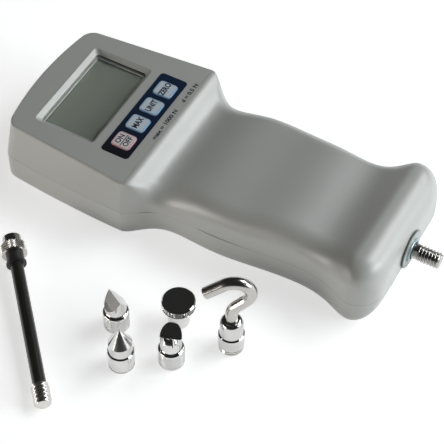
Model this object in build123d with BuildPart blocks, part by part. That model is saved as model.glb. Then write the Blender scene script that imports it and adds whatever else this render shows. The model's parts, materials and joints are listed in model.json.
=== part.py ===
"""Hand-held digital force gauge with its six screw-on attachments, as separate pieces.

Frame: millimetres. +X runs along the force axis, from the display head to the load stud.
+Z is up, out of the display. The origin is the centre of the housing's flat rear face, on
which the gauge lies, so everything rests on z = 0. The attachments stand on the -Y side.
"""
import os
from math import atan2, cos, degrees, radians, sin, sqrt

from build123d import *

os.makedirs("parts", exist_ok=True)

# ---------------------------------------------------------------- driving dimensions
# Housing envelope
housing_length = 194.0
head_length = 70.0           # blunt end to the shoulder, where the grip starts
parting_height = 14.0        # seam between the rear shell and the front shell
panel_height = 32.0          # flat panel of the head
wall = 2.4
shoulder_half_width = 43.4   # at the seam
blunt_half_width = 39.2      # at the seam, where the blunt end's corners start
side_bow = 1.0               # the head's sides bulge out by this much at the seam
blunt_bow = 4.0              # the blunt end bulges out by this much
panel_shoulder_half_width = 41.0
panel_blunt_half_width = 35.2
blunt_corner_radius = 7.0
blunt_draft = 1.4            # the blunt end leans in by this much, from seam to panel
flat_bow = 0.05              # the panel's sides are all but straight
panel_edge_radius = 0.9
head_foot_radius = 1.6

# Grip, measured from the shoulder
ramp_length = 13.5           # the panel ramps down to the neck over this length
ramp_edge_radius = 4.0       # half way down the ramp
ramp_foot_radius = 2.8
neck_half_width = 35.6
neck_height = 26.2
rise_length = 34.0           # shoulder to the place where the grip's back levels out
rise_half_width = 34.2
back_height = 31.4
grip_edge_radius = 10.0
grip_foot_radius = 4.0
grip_draft = 0.6

# Pommel, measured from the stud end
waist_length = 36.0          # stud end to the grip's narrowest place
waist_half_width = 31.6
waist_flare = 1.2            # half width gained a third of the way to the crest
grip_swell = 0.3             # sides bulge past the straight line, mid-grip
pommel_swell = 0.7           # and two thirds of the way to the crest
dip_height = 30.4
crest_length = 12.0          # stud end to the crest, and the plan's corner radius
crest_half_width = 38.3
crest_height = 35.4
end_top_radius = 11.0
end_foot_radius = 11.5
end_steps = 5                # sections around the rounded end
shoulder_step = 0.05         # the grip starts this much inside the head's outline
seam_lap = 3.0               # the grip's halves are lofted past the seam, then cut on it
smallest_radius = 0.4

# Display
recess_length = 31.8         # along X
recess_width = 53.4
recess_depth = 2.0
recess_bevel = 2.0
recess_corner_radius = 1.8
recess_offset = 14.3         # blunt end to the recess
window_thickness = 1.4
window_ledge = 1.2           # the window rests on a ledge this wide
window_ledge_thickness = 1.0
lcd_length = 33.4
lcd_width = 55.0
lcd_thickness = 4.0
lcd_gap = 0.2
lcd_chamfer = 0.4

# Keypad
keypad_length = 14.3         # along X
keypad_width = 55.2
keypad_corner_radius = 1.8
keypad_thickness = 0.5
keypad_pocket = 0.4
keypad_offset = 4.5          # display recess to the keypad
key_names = ("on_off", "max", "unit", "zero")
key_length = 9.8             # along X
key_width = 9.2
key_corner_radius = 2.0
key_pitch = 12.3
key_proud = 0.6              # above the panel
key_edge_radius = 0.45
key_gap = 0.3
key_flange = 0.8
key_flange_thickness = 1.0
key_plunger_radius = 1.6
key_travel = 0.4
switch_size = 6.0

# Main board
board_thickness = 1.6
board_margin = 1.0           # past the display module and past the key switches
board_half_width = 29.5
board_tab_length = 5.4       # past the display module, for the first pair of posts
board_tab_half_width = 17.0
board_post_radius = 2.2
board_post_half_pitch_blunt = 14.0
board_post_half_pitch_keys = 26.9
board_screw_radius = 1.1
board_screw_head_radius = 2.2
board_screw_head = 1.5
board_screw_length = 6.0
board_corner_radius = 1.5
switch_height = 2.0
chip_height = 1.8
board_chip_layout = (        # from the board's edge, from the middle, length, width
    (14.0, 10.0, 10.0, 10.0),
    (14.0, -10.0, 8.0, 5.0),
    (28.0, 13.0, 5.0, 4.0),
    (28.0, -9.0, 12.0, 7.0),
)
connector_height = 2.0

# Housing screws and their posts
post_radius = 4.2
post_inset_blunt = 7.4       # blunt end to the first pair
post_half_pitch_blunt = 26.4
post_inset_shoulder = 6.0    # shoulder to the second pair, on the head
post_half_pitch_shoulder = 34.4
post_inset_end = 8.2         # stud end to the third pair
post_half_pitch_end = 26.5
housing_screw_radius = 1.4
housing_screw_head_radius = 2.8
housing_screw_head = 2.0
housing_screw_length = 14.0
screw_shelf = 8.0            # height of the shelf that a housing screw's head bears on

# Battery bay
cell_radius = 7.1
cell_length = 49.2
cell_nub_radius = 2.6
cell_nub_length = 1.3
cell_edge_radius = 0.5
cell_count = 4
cell_pitch = 15.0
bay_offset = 7.2             # shoulder to the bay
bay_end_gap = 0.4
bay_wall = 1.2
contact_spring_length = 4.4
contact_spring_wire = 0.35    # radius
contact_spring_turns = 4
contact_spring_foot = 5.0     # coil radius at the contact plate
contact_spring_tip = 3.0      # coil radius at the cell
contact_plate_half_height = 6.0
contact_plate_thickness = 0.4
cover_thickness = 2.3
cover_lip = 2.0
cover_lip_thickness = 1.1
cover_gap = 0.25
cover_corner_radius = 1.0
cover_groove_count = 5
cover_groove_pitch = 2.4
cover_groove_length = 14.0
cover_groove_width = 1.2
cover_groove_depth = 0.6
cover_groove_inset = 5.0

# Load path
stud_height = 17.2
stud_radius = 4.0            # M8
stud_relief_radius = 3.6     # plain neck between the flange and the outer thread
stud_thread_length = 10.0    # outer thread, with its chamfer
stud_reach = 15.0            # past the housing's end
stud_tip_chamfer = 0.8
stud_travel = 0.2
flange_radius = 9.3
flange_thickness = 0.8
flange_gap = 0.3
flange_chamfer = 0.25
seal_radius = 6.2
seal_thickness = 1.5
seal_clearance = 0.3
cell_block_length = 36.0
cell_block_width = 35.0
cell_block_height = 14.0
cell_block_inset = 9.5       # stud end to the load cell
cell_slot = 1.8
cell_slot_web = 5.5
cell_eye_radius = 3.6
cell_eye_pitch = 9.0
cell_slot_offset = 6.7       # middle of the load cell to each slot
stud_bore_depth = 9.0
stud_nut_thickness = 4.0
stud_nut_across_flats = 13.0
stud_nut_gap = 0.35
anchor_thickness = 4.0
anchor_half_width = 21.0
anchor_plate_thickness = 3.0
anchor_bolt_radius = 3.0
anchor_bolt_depth = 8.0
anchor_bolt_head_radius = 5.0
anchor_bolt_head = 3.6
anchor_bolt_key_flats = 5.0
anchor_bolt_key_depth = 2.2
stand_hole_radius = 1.65     # M4 tapping drill
stand_hole_clearance = 0.65
stand_spacing_x = 28.0
stand_spacing_y = 32.0
plate_screw_radius = 1.45
plate_screw_head_radius = 2.8
plate_screw_seat = 1.8       # height of the shelf that its head bears on
plate_screw_head = 1.5
plate_screw_spacing_y = 16.0

# Ribbons
ribbon_thickness = 0.3
ribbon_width = 10.0
ribbon_lift = 0.1
ribbon_bend = 1.0
connector_length = 6.0
connector_rim = 1.5

# Attachments: turned bases with an M8 thread inside
base_radius = 5.8
base_height = 10.6
base_chamfer = 0.5
groove_width = 0.5
groove_depth = 0.6
band_radius = 5.25
cone_band_height = 5.0
cone_point_radius = 0.15
hook_band_height = 5.2
hook_socket_web = 2.0        # metal between the socket and the wire's foot
tip_radius = 4.8
socket_radius = 3.4          # M8 tapping drill
socket_depth = 8.5
chisel_height = 20.5
chisel_flank_drop = 6.6
chisel_turn = -28.0
cone_height = 25.0
notch_height = 21.9
notch_depth = 4.2
notch_land = 0.4
notch_turn = 17.0
disc_radius = 7.5
disc_thickness = 4.4
disc_height = 15.5
disc_stem_radius = 4.85
hook_wire_radius = 2.7
hook_neck_radius = 3.2
hook_neck_height = 3.4
hook_loop_radius = 7.2
hook_loop_height = 38.0
hook_loop_offset = 0.95
hook_turn = 29.2
hook_tip_angle = 126.0       # where the loop ends and the straight tip starts
hook_tip_length = 9.6
hook_throat_angle = -45.0    # where the loop starts
hook_bend_radius = 6.0
chisel_place = (-1.6, -88.6)
cone_place = (11.1, -105.3)
notch_place = (29.1, -93.4)
disc_place = (21.3, -73.6)
hook_place = (47.8, -74.0)

# Extension rod, lying on its thread and its knurled coupling
rod_radius = 3.0
rod_tip = (-5.0, -141.5)
rod_turn = 132.4             # from the thread's tip towards the coupling
rod_thread_length = 9.8
rod_length = 75.2            # thread's tip to the coupling's flange
rod_flange_radius = 4.6
rod_flange_thickness = 1.0
rod_sleeve_radius = 3.95
rod_sleeve_length = 4.3
coupling_length = 5.6
coupling_nose_radius = 4.3
coupling_nose_length = 4.5

# Clearances
fit_gap = 0.05               # screws and pins in their own holes
seat_gap = 0.1               # loose-fitted flat pieces
screw_run_out = 0.8          # free depth past a screw's end

# ---------------------------------------------------------------- derived places
x_blunt = -housing_length / 2
x_end = housing_length / 2
x_shoulder = x_blunt + head_length
x_recess = x_blunt + recess_offset + recess_length / 2
x_keypad = x_blunt + recess_offset + recess_length + keypad_offset + keypad_length / 2
shoulder_draft = shoulder_half_width - panel_shoulder_half_width
window_top = panel_height - recess_depth
window_bottom = window_top - window_thickness
well_bottom = window_bottom - window_ledge_thickness
board_top = well_bottom - lcd_gap - lcd_thickness
board_bottom = board_top - board_thickness
panel_underside = panel_height - wall
window_length = recess_length - 2 * recess_bevel
window_width = recess_width - 2 * recess_bevel
key_ys = [(i - (len(key_names) - 1) / 2) * key_pitch for i in range(len(key_names))]


# ---------------------------------------------------------------- housing form
def head_outline(shoulder_y, blunt_y, bow, setback):
    """The head's plan as a face in the current sketch; setback moves the blunt end in."""
    x_side = x_blunt + blunt_bow + setback
    x_mid, y_mid = (x_shoulder + x_side) / 2, (shoulder_y + blunt_y) / 2 + bow
    with BuildLine() as outline:
        Line((x_shoulder, -shoulder_y), (x_shoulder, shoulder_y))
        ThreePointArc((x_shoulder, shoulder_y), (x_mid, y_mid), (x_side, blunt_y))
        ThreePointArc((x_side, blunt_y), (x_blunt + setback, 0), (x_side, -blunt_y))
        ThreePointArc((x_side, -blunt_y), (x_mid, -y_mid), (x_shoulder, -shoulder_y))
    make_face(outline.edges())


def head_outline_corners(sketch, inset):
    """Round the blunt end's two corners of a head outline."""
    fillet(sketch.vertices().group_by(Axis.X)[0], blunt_corner_radius - inset)


def head_half(inset, front):
    """The head's front or rear half, shrunk by inset on every side but the shoulder's."""
    seam_shape = (shoulder_half_width - inset, blunt_half_width - inset, side_bow, inset)
    panel_shape = (panel_shoulder_half_width - inset, panel_blunt_half_width - inset,
                   flat_bow, inset + blunt_draft)
    with BuildPart() as half:
        with BuildSketch(Plane.XY.offset(parting_height)) as seam:
            head_outline(*seam_shape)
            head_outline_corners(seam, inset)
        if front:
            with BuildSketch(Plane.XY.offset(panel_height - inset)) as panel:
                head_outline(*panel_shape)
                head_outline_corners(panel, inset)
            loft(ruled=True)
            rim, radius = half.faces().sort_by(Axis.Z)[-1].edges(), panel_edge_radius
        else:
            extrude(amount=inset - parting_height)
            rim, radius = half.faces().sort_by(Axis.Z)[0].edges(), head_foot_radius
        if inset == 0:
            fillet([edge for edge in rim if edge.center().X < x_shoulder - wall], radius)
    return half.part


def round_drop(x, radius, inset):
    """How far a quarter-round end of this radius has fallen away at x."""
    inner_radius = radius - inset
    run = max(0.0, x - (x_end - radius))
    return inner_radius - sqrt(max(0.0, inner_radius * inner_radius - run * run))


def end_section(turn, inset):
    """Section of the rounded end, at an angle around its plan corner."""
    x = x_end - crest_length + (crest_length - inset) * sin(radians(turn))
    return (
        x,
        crest_half_width - inset - round_drop(x, crest_length, inset),
        crest_height - inset - round_drop(x, end_top_radius, inset),
        inset + round_drop(x, end_foot_radius, inset),
        grip_draft,
        grip_edge_radius,
        grip_foot_radius,
    )


def grip_sections(inset):
    """Sections of the grip: x, half width, top, bottom, draft, edge radius, foot radius."""
    neck_x = x_shoulder + ramp_length
    rise_x = x_shoulder + rise_length
    waist_x = x_end - waist_length
    crest_x = x_end - crest_length

    def grip_section(x, half_width, height):
        return (x, half_width - inset, height - inset, inset,
                grip_draft, grip_edge_radius, grip_foot_radius)

    ramp_half_width = (shoulder_half_width + neck_half_width) / 2
    ramp_height = (panel_height + neck_height) / 2
    middle_half_width = (rise_half_width + waist_half_width) / 2 + grip_swell
    slope_half_width = (waist_half_width + crest_half_width) / 2 + pommel_swell
    sections = [
        (x_shoulder, shoulder_half_width - inset - shoulder_step,
         panel_height - inset - shoulder_step, inset,
         shoulder_draft, panel_edge_radius, head_foot_radius),
        (x_shoulder + ramp_length / 2, ramp_half_width - inset, ramp_height - inset, inset,
         (shoulder_draft + grip_draft) / 2, ramp_edge_radius, ramp_foot_radius),
        grip_section(neck_x, neck_half_width, neck_height),
        grip_section(rise_x, rise_half_width, (neck_height + 2 * back_height) / 3),
        grip_section((rise_x + waist_x) / 2, middle_half_width, back_height),
        grip_section(waist_x, waist_half_width, (back_height + dip_height) / 2),
        grip_section((waist_x * 2 + crest_x) / 3, waist_half_width + waist_flare, dip_height),
        grip_section((waist_x + crest_x * 2) / 3, slope_half_width,
                     (dip_height + crest_height) / 2),
    ]
    return sections + [end_section(0, inset)]


def loft_half(sections, inset, front):
    """The front or rear half through some sections, lofted past the seam and cut on it."""
    with BuildPart() as half:
        for x, side, crown, sole, draft, edge_radius, foot_radius in sections:
            with BuildSketch(Plane(origin=(x, 0, 0), x_dir=(0, 1, 0),
                                   z_dir=(1, 0, 0))) as section:
                if front:
                    spread = side + draft * seam_lap / (crown - parting_height)
                    with BuildLine():
                        Polyline((-spread, parting_height - seam_lap),
                                 (spread, parting_height - seam_lap),
                                 (side - draft, crown), (draft - side, crown), close=True)
                    make_face()
                    fillet(section.vertices().group_by(Axis.Y)[-1],
                           max(smallest_radius, min(edge_radius - inset, crown - parting_height)))
                else:
                    with BuildLine():
                        Polyline((-side, sole), (side, sole),
                                 (side, parting_height + seam_lap),
                                 (-side, parting_height + seam_lap), close=True)
                    make_face()
                    fillet(section.vertices().group_by(Axis.Y)[0],
                           max(smallest_radius, min(foot_radius - inset, parting_height - sole)))
        loft()
        split(bisect_by=Plane.XY.offset(parting_height), keep=Keep.TOP if front else Keep.BOTTOM)
    return half.part


def housing_half(inset, front):
    """The housing's front or rear half as one solid, shrunk by inset."""
    with BuildPart() as half:
        add(head_half(inset, front))
        add(loft_half(grip_sections(inset), inset, front))
        add(loft_half([end_section(90 * i / end_steps, inset) for i in range(end_steps + 1)],
                      inset, front))
    return half.part


front_form = housing_half(0, front=True)
front_hollow = housing_half(wall, front=True)
rear_form = housing_half(0, front=False)
rear_hollow = housing_half(wall, front=False)


# ---------------------------------------------------------------- places shared by pieces
post_places = [
    (x_blunt + post_inset_blunt, post_half_pitch_blunt),
    (x_shoulder - post_inset_shoulder, post_half_pitch_shoulder),
    (x_end - post_inset_end, post_half_pitch_end),
]
post_places += [(x, -y) for x, y in post_places]
board_x0 = x_recess - lcd_length / 2 - board_margin
board_tab_x0 = board_x0 - board_tab_length
board_x1 = x_keypad + key_length / 2 + key_flange + board_margin
board_post_places = [
    (board_tab_x0 + board_post_radius + board_margin, board_post_half_pitch_blunt),
    (x_recess + lcd_length / 2 + board_post_radius + board_margin, board_post_half_pitch_keys),
]
board_post_places += [(x, -y) for x, y in board_post_places]
bay_x0 = x_shoulder + bay_offset
bay_length = cell_pitch * (cell_count - 1) + 2 * cell_radius + 2 * bay_end_gap
bay_x1 = bay_x0 + bay_length
bay_x = (bay_x0 + bay_x1) / 2
cell_room = cell_nub_length + cell_length + contact_spring_length
bay_half_width = cell_room / 2 + contact_plate_thickness
cell_z = cover_thickness + bay_end_gap + cell_radius
bay_roof = cell_z + cell_radius + bay_end_gap
cell_xs = [bay_x0 + bay_end_gap + cell_radius + i * cell_pitch for i in range(cell_count)]
cover_half_width = cell_length / 2 + cell_nub_length
anchor_x0 = x_end - cell_block_inset - cell_block_length - anchor_thickness
block_x0 = anchor_x0 + anchor_thickness
block_x1 = block_x0 + cell_block_length
block_x = (block_x0 + block_x1) / 2
anchor_plate_foot = wall + fit_gap
anchor_plate_top = anchor_plate_foot + anchor_plate_thickness
anchor_plate_x1 = x_end - end_foot_radius
stand_x = (block_x0 + anchor_plate_x1) / 2
block_top = stud_height + cell_block_height / 2
stand_places = [
    (stand_x + i * stand_spacing_x / 2, j * stand_spacing_y / 2)
    for i in (-1, 1) for j in (-1, 1)
]
plate_screw_places = [
    (stand_x + i * stand_spacing_x / 2, j * plate_screw_spacing_y / 2)
    for i in (-1, 1) for j in (-1, 1)
]
flange_x0 = x_end + flange_gap
stud_x0 = block_x1 - stud_bore_depth + 2 * stud_travel
stud_x1 = x_end + stud_reach
switch_top = board_top + switch_height
key_flange_top = panel_underside - fit_gap
bay_lid = bay_roof + bay_wall


# ---------------------------------------------------------------- shared steps
def block(length, width, z0, z1, x=0.0, y=0.0, mode=Mode.ADD):
    """A plain block between two heights in the current part, length along X."""
    with BuildSketch(Plane.XY.offset(z0)) as foot:
        with Locations((x, y)):
            Rectangle(length, width)
    extrude(foot.sketch, amount=z1 - z0, mode=mode)


def cylinders(places, radius, z0, z1, mode=Mode.ADD):
    """Equal upright cylinders between two heights in the current part."""
    with BuildSketch(Plane.XY.offset(z0)) as foot:
        with Locations(*places):
            Circle(radius)
    extrude(foot.sketch, amount=z1 - z0, mode=mode)


def across(x, y=0.0, z=stud_height):
    """The plane that looks along +X at a place, with +Y to its right."""
    return Plane(origin=(x, y, z), x_dir=(0, 1, 0), z_dir=(1, 0, 0))


def ring(x0, x1, radius, bore=0.0, mode=Mode.ADD):
    """A cylinder or a ring on the stud's axis in the current part."""
    with BuildSketch(across(x0)) as foot:
        Circle(radius)
        if bore:
            Circle(bore, mode=Mode.SUBTRACT)
    extrude(foot.sketch, amount=x1 - x0, mode=mode)


def upright(place, turn=0.0):
    """The upright plane through a place: its own Y is up, and its X is turned from +X."""
    side, rest = cos(radians(turn)), sin(radians(turn))
    return Plane(origin=(*place, 0), x_dir=(side, rest, 0), z_dir=(rest, -side, 0))


def turned(plane, profile):
    """A turned piece in the current part: (radius, distance along the plane's Y) pairs."""
    with BuildSketch(plane) as half:
        with BuildLine() as line:
            Polyline(*profile, close=True)
        make_face(line.edges())
    revolve(half.sketch, axis=Axis(plane.origin, plane.y_dir))


# ---------------------------------------------------------------- front shell
with BuildPart() as front_cavity:
    add(front_hollow)
    cylinders(post_places, post_radius, parting_height, crest_height, mode=Mode.SUBTRACT)
    cylinders(board_post_places, board_post_radius, board_top, crest_height,
              mode=Mode.SUBTRACT)
    with BuildSketch(Plane.XY.offset(well_bottom)):
        with Locations((x_recess, 0)):
            RectangleRounded(recess_length + wall, recess_width + wall, recess_corner_radius)
    extrude(amount=wall, mode=Mode.SUBTRACT)

with BuildPart() as front_shell:
    add(front_form)
    add(front_cavity.part, mode=Mode.SUBTRACT)
    # display recess with bevelled sides, the window's seat, and the view through
    with BuildSketch(Plane.XY.offset(window_top)):
        with Locations((x_recess, 0)):
            RectangleRounded(window_length, window_width, recess_corner_radius)
    with BuildSketch(Plane.XY.offset(panel_height)):
        with Locations((x_recess, 0)):
            RectangleRounded(recess_length, recess_width, recess_corner_radius)
    loft(ruled=True, mode=Mode.SUBTRACT)
    with BuildSketch(Plane.XY.offset(window_top)):
        with Locations((x_recess, 0)):
            RectangleRounded(window_length, window_width, recess_corner_radius)
    extrude(amount=-window_thickness, mode=Mode.SUBTRACT)
    block(window_length - 2 * window_ledge, window_width - 2 * window_ledge,
          well_bottom, window_bottom, x_recess, mode=Mode.SUBTRACT)
    # keypad pocket and the keys' openings
    with BuildSketch(Plane.XY.offset(panel_height)):
        with Locations((x_keypad, 0)):
            RectangleRounded(keypad_length + 2 * seat_gap, keypad_width + 2 * seat_gap,
                             keypad_corner_radius)
    extrude(amount=-keypad_pocket, mode=Mode.SUBTRACT)
    with BuildSketch(Plane.XY.offset(panel_height)):
        with Locations(*[(x_keypad, y) for y in key_ys]):
            RectangleRounded(key_length + 2 * key_gap, key_width + 2 * key_gap,
                             key_corner_radius)
    extrude(amount=-wall, mode=Mode.SUBTRACT)
    # pilot holes, and the dust seal's seat around the stud
    cylinders(post_places, housing_screw_radius + fit_gap, parting_height,
              screw_shelf + housing_screw_length + screw_run_out, mode=Mode.SUBTRACT)
    cylinders(board_post_places, board_screw_radius + fit_gap, board_top,
              board_bottom + board_screw_length + screw_run_out, mode=Mode.SUBTRACT)
    ring(x_end - 2 * wall, x_end + wall, seal_radius + fit_gap, mode=Mode.SUBTRACT)
front_shell.part.label = "front_shell"
export_step(front_shell.part, "parts/front_shell.step")

# ---------------------------------------------------------------- rear shell
with BuildPart() as rear_cavity:
    add(rear_hollow)
    cylinders(post_places, post_radius, 0, parting_height, mode=Mode.SUBTRACT)

with BuildPart() as rear_shell:
    add(rear_form)
    add(rear_cavity.part, mode=Mode.SUBTRACT)
    # battery bay, open through the sole, with a stepped seat for its cover
    block(bay_length + 2 * bay_wall, 2 * (bay_half_width + bay_wall), wall / 2, bay_lid, bay_x)
    block(bay_length, 2 * bay_half_width, wall, bay_roof, bay_x, mode=Mode.SUBTRACT)
    block(bay_length, 2 * cover_half_width, 0, wall, bay_x, mode=Mode.SUBTRACT)
    block(bay_length + 2 * (cover_lip + cover_gap),
          2 * (cover_half_width + cover_lip + cover_gap),
          0, cover_lip_thickness + seat_gap, bay_x, mode=Mode.SUBTRACT)
    # housing screws, deep under their shelves
    cylinders(post_places, housing_screw_radius + fit_gap, 0, parting_height,
              mode=Mode.SUBTRACT)
    cylinders(post_places, housing_screw_head_radius + seat_gap, 0, screw_shelf,
              mode=Mode.SUBTRACT)
    # the stand's way in, and the anchor bracket's screws
    cylinders(stand_places, stand_hole_radius + stand_hole_clearance, 0, wall,
              mode=Mode.SUBTRACT)
    cylinders(plate_screw_places, plate_screw_radius + fit_gap, 0, wall, mode=Mode.SUBTRACT)
    cylinders(plate_screw_places, plate_screw_head_radius + seat_gap, 0, plate_screw_seat,
              mode=Mode.SUBTRACT)
    ring(x_end - 2 * wall, x_end + wall, seal_radius + fit_gap, mode=Mode.SUBTRACT)
rear_shell.part.label = "rear_shell"
export_step(rear_shell.part, "parts/rear_shell.step")

# ---------------------------------------------------------------- battery cover
with BuildPart() as battery_cover:
    with BuildSketch(Plane.XY):
        with Locations((bay_x, 0)):
            RectangleRounded(bay_length + 2 * cover_lip, 2 * (cover_half_width + cover_lip),
                             cover_corner_radius)
    extrude(amount=cover_lip_thickness)
    block(bay_length - 2 * cover_gap, 2 * (cover_half_width - cover_gap),
          cover_lip_thickness, cover_thickness, bay_x)
    # thumb grooves
    with BuildSketch(Plane.XY):
        with Locations(*[(bay_x1 - cover_groove_inset - i * cover_groove_pitch, 0)
                         for i in range(cover_groove_count)]):
            SlotOverall(cover_groove_length, cover_groove_width, rotation=90)
    extrude(amount=cover_groove_depth, mode=Mode.SUBTRACT)
battery_cover.part.label = "battery_cover"
export_step(battery_cover.part, "parts/battery_cover.step")

# ---------------------------------------------------------------- window and display
with BuildPart() as display_window:
    with BuildSketch(Plane.XY.offset(window_bottom)):
        with Locations((x_recess, 0)):
            RectangleRounded(window_length - 2 * fit_gap, window_width - 2 * fit_gap,
                             recess_corner_radius - fit_gap)
    extrude(amount=window_thickness)
display_window.part.label = "display_window"
export_step(display_window.part, "parts/display_window.step")

with BuildPart() as lcd_module:
    block(lcd_length, lcd_width, board_top, board_top + lcd_thickness, x_recess)
    chamfer(lcd_module.faces().sort_by(Axis.Z)[-1].edges(), lcd_chamfer)
lcd_module.part.label = "lcd_module"
export_step(lcd_module.part, "parts/lcd_module.step")

# ---------------------------------------------------------------- main board
with BuildPart() as main_board:
    with BuildSketch(Plane.XY.offset(board_bottom)):
        with Locations(((board_x0 + board_x1) / 2, 0)):
            RectangleRounded(board_x1 - board_x0, 2 * board_half_width, board_corner_radius)
        with Locations(((board_tab_x0 + x_recess) / 2, 0)):
            RectangleRounded(x_recess - board_tab_x0, 2 * board_tab_half_width,
                             board_corner_radius)
        with Locations(*board_post_places):
            Circle(board_screw_radius + fit_gap, mode=Mode.SUBTRACT)
    extrude(amount=board_thickness)
main_board.part.label = "main_board"
export_step(main_board.part, "parts/main_board.step")

with BuildPart() as board_screws:
    cylinders(board_post_places, board_screw_radius, board_bottom,
              board_bottom + board_screw_length)
    cylinders(board_post_places, board_screw_head_radius, board_bottom - board_screw_head,
              board_bottom)
board_screws.part.label = "board_screws"
export_step(board_screws.part, "parts/board_screws.step")

with BuildPart() as board_chips:
    for along, side, length, width in board_chip_layout:
        block(length, width, board_bottom - chip_height, board_bottom, board_x0 + along, side)
board_chips.part.label = "board_chips"
export_step(board_chips.part, "parts/board_chips.step")

connector_x1 = board_x1 - board_margin
connector_z = board_bottom - connector_height / 2
with BuildPart() as board_connector:
    block(connector_length, ribbon_width + 2 * connector_rim, board_bottom - connector_height,
          board_bottom, connector_x1 - connector_length / 2)
board_connector.part.label = "board_connector"
export_step(board_connector.part, "parts/board_connector.step")

with BuildPart() as key_switches:
    for y in key_ys:
        block(switch_size, switch_size, board_top, switch_top, x_keypad, y)
key_switches.part.label = "key_switches"
export_step(key_switches.part, "parts/key_switches.step")

# ---------------------------------------------------------------- keypad and keys
with BuildPart() as keypad_overlay:
    with BuildSketch(Plane.XY.offset(panel_height - keypad_pocket)):
        with Locations((x_keypad, 0)):
            RectangleRounded(keypad_length, keypad_width, keypad_corner_radius)
        with Locations(*[(x_keypad, y) for y in key_ys]):
            RectangleRounded(key_length + 2 * key_gap, key_width + 2 * key_gap,
                             key_corner_radius, mode=Mode.SUBTRACT)
    extrude(amount=keypad_thickness)
keypad_overlay.part.label = "keypad_overlay"
export_step(keypad_overlay.part, "parts/keypad_overlay.step")

for key_name, key_y in zip(key_names, key_ys):
    with BuildPart() as key:
        with BuildSketch(Plane.XY.offset(key_flange_top)):
            with Locations((x_keypad, key_y)):
                RectangleRounded(key_length, key_width, key_corner_radius)
        extrude(amount=panel_height + key_proud - key_flange_top)
        fillet(key.faces().sort_by(Axis.Z)[-1].edges(), key_edge_radius)
        with BuildSketch(Plane.XY.offset(key_flange_top)):
            with Locations((x_keypad, key_y)):
                RectangleRounded(key_length + 2 * key_flange, key_width + 2 * key_flange,
                                 key_corner_radius)
        extrude(amount=-key_flange_thickness)
        cylinders([(x_keypad, key_y)], key_plunger_radius, switch_top + key_travel + fit_gap,
                  key_flange_top)
    key.part.label = f"key_{key_name}"
    export_step(key.part, f"parts/key_{key_name}.step")

# ---------------------------------------------------------------- housing screws
with BuildPart() as housing_screws:
    cylinders(post_places, housing_screw_radius, screw_shelf,
              screw_shelf + housing_screw_length)
    cylinders(post_places, housing_screw_head_radius, screw_shelf - housing_screw_head,
              screw_shelf)
housing_screws.part.label = "housing_screws"
export_step(housing_screws.part, "parts/housing_screws.step")

# ---------------------------------------------------------------- cells and contacts
plate_y = bay_half_width - contact_plate_thickness
for number, cell_x in enumerate(cell_xs, start=1):
    way = 1 if number % 2 else -1
    nub_end = Plane(origin=(cell_x, way * (plate_y - cell_nub_length), cell_z),
                    x_dir=(1, 0, 0), z_dir=(0, way, 0))
    with BuildPart() as battery:
        with BuildSketch(nub_end):
            Circle(cell_radius)
        extrude(amount=-cell_length)
        fillet(battery.edges().filter_by(GeomType.CIRCLE), cell_edge_radius)
        with BuildSketch(nub_end):
            Circle(cell_nub_radius)
        extrude(amount=cell_nub_length)
    battery.part.label = f"battery_{number}"
    export_step(battery.part, f"parts/battery_{number}.step")

with BuildPart() as contact_plates:
    for way in (-1, 1):
        for cell_x in cell_xs:
            block(2 * contact_plate_half_height, contact_plate_thickness,
                  cell_z - contact_plate_half_height, cell_z + contact_plate_half_height,
                  cell_x, way * (bay_half_width - contact_plate_thickness / 2))
contact_plates.part.label = "contact_plates"
export_step(contact_plates.part, "parts/contact_plates.step")

spring_height = contact_spring_length - 2 * contact_spring_wire
spring_cone = degrees(atan2(contact_spring_tip - contact_spring_foot, spring_height))
with BuildPart() as contact_springs:
    for number, cell_x in enumerate(cell_xs, start=1):
        way = -1 if number % 2 else 1
        with BuildLine() as coil:
            Helix(spring_height / contact_spring_turns, spring_height, contact_spring_foot,
                  center=(cell_x, way * (plate_y - contact_spring_wire), cell_z),
                  direction=(0, -way, 0), cone_angle=spring_cone)
        with BuildSketch(Plane(origin=coil.line @ 0, z_dir=coil.line % 0)) as wire:
            Circle(contact_spring_wire)
        sweep(wire.sketch, path=coil.line)
contact_springs.part.label = "contact_springs"
export_step(contact_springs.part, "parts/contact_springs.step")

# ---------------------------------------------------------------- load path
with BuildPart() as anchor_bracket:
    block(anchor_plate_x1 - anchor_x0, 2 * anchor_half_width, anchor_plate_foot,
          anchor_plate_top, (anchor_x0 + anchor_plate_x1) / 2)
    block(anchor_thickness, cell_block_width, anchor_plate_top, block_top,
          anchor_x0 + anchor_thickness / 2)
    ring(anchor_x0, block_x0, anchor_bolt_radius + seat_gap, mode=Mode.SUBTRACT)
    cylinders(stand_places, stand_hole_radius, anchor_plate_foot, anchor_plate_top,
              mode=Mode.SUBTRACT)
    cylinders(plate_screw_places, plate_screw_radius + fit_gap, anchor_plate_foot,
              anchor_plate_top, mode=Mode.SUBTRACT)
anchor_bracket.part.label = "anchor_bracket"
export_step(anchor_bracket.part, "parts/anchor_bracket.step")

with BuildPart() as anchor_screws:
    cylinders(plate_screw_places, plate_screw_radius, plate_screw_seat, anchor_plate_top)
    cylinders(plate_screw_places, plate_screw_head_radius,
              plate_screw_seat - plate_screw_head, plate_screw_seat)
anchor_screws.part.label = "anchor_screws"
export_step(anchor_screws.part, "parts/anchor_screws.step")

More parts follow.
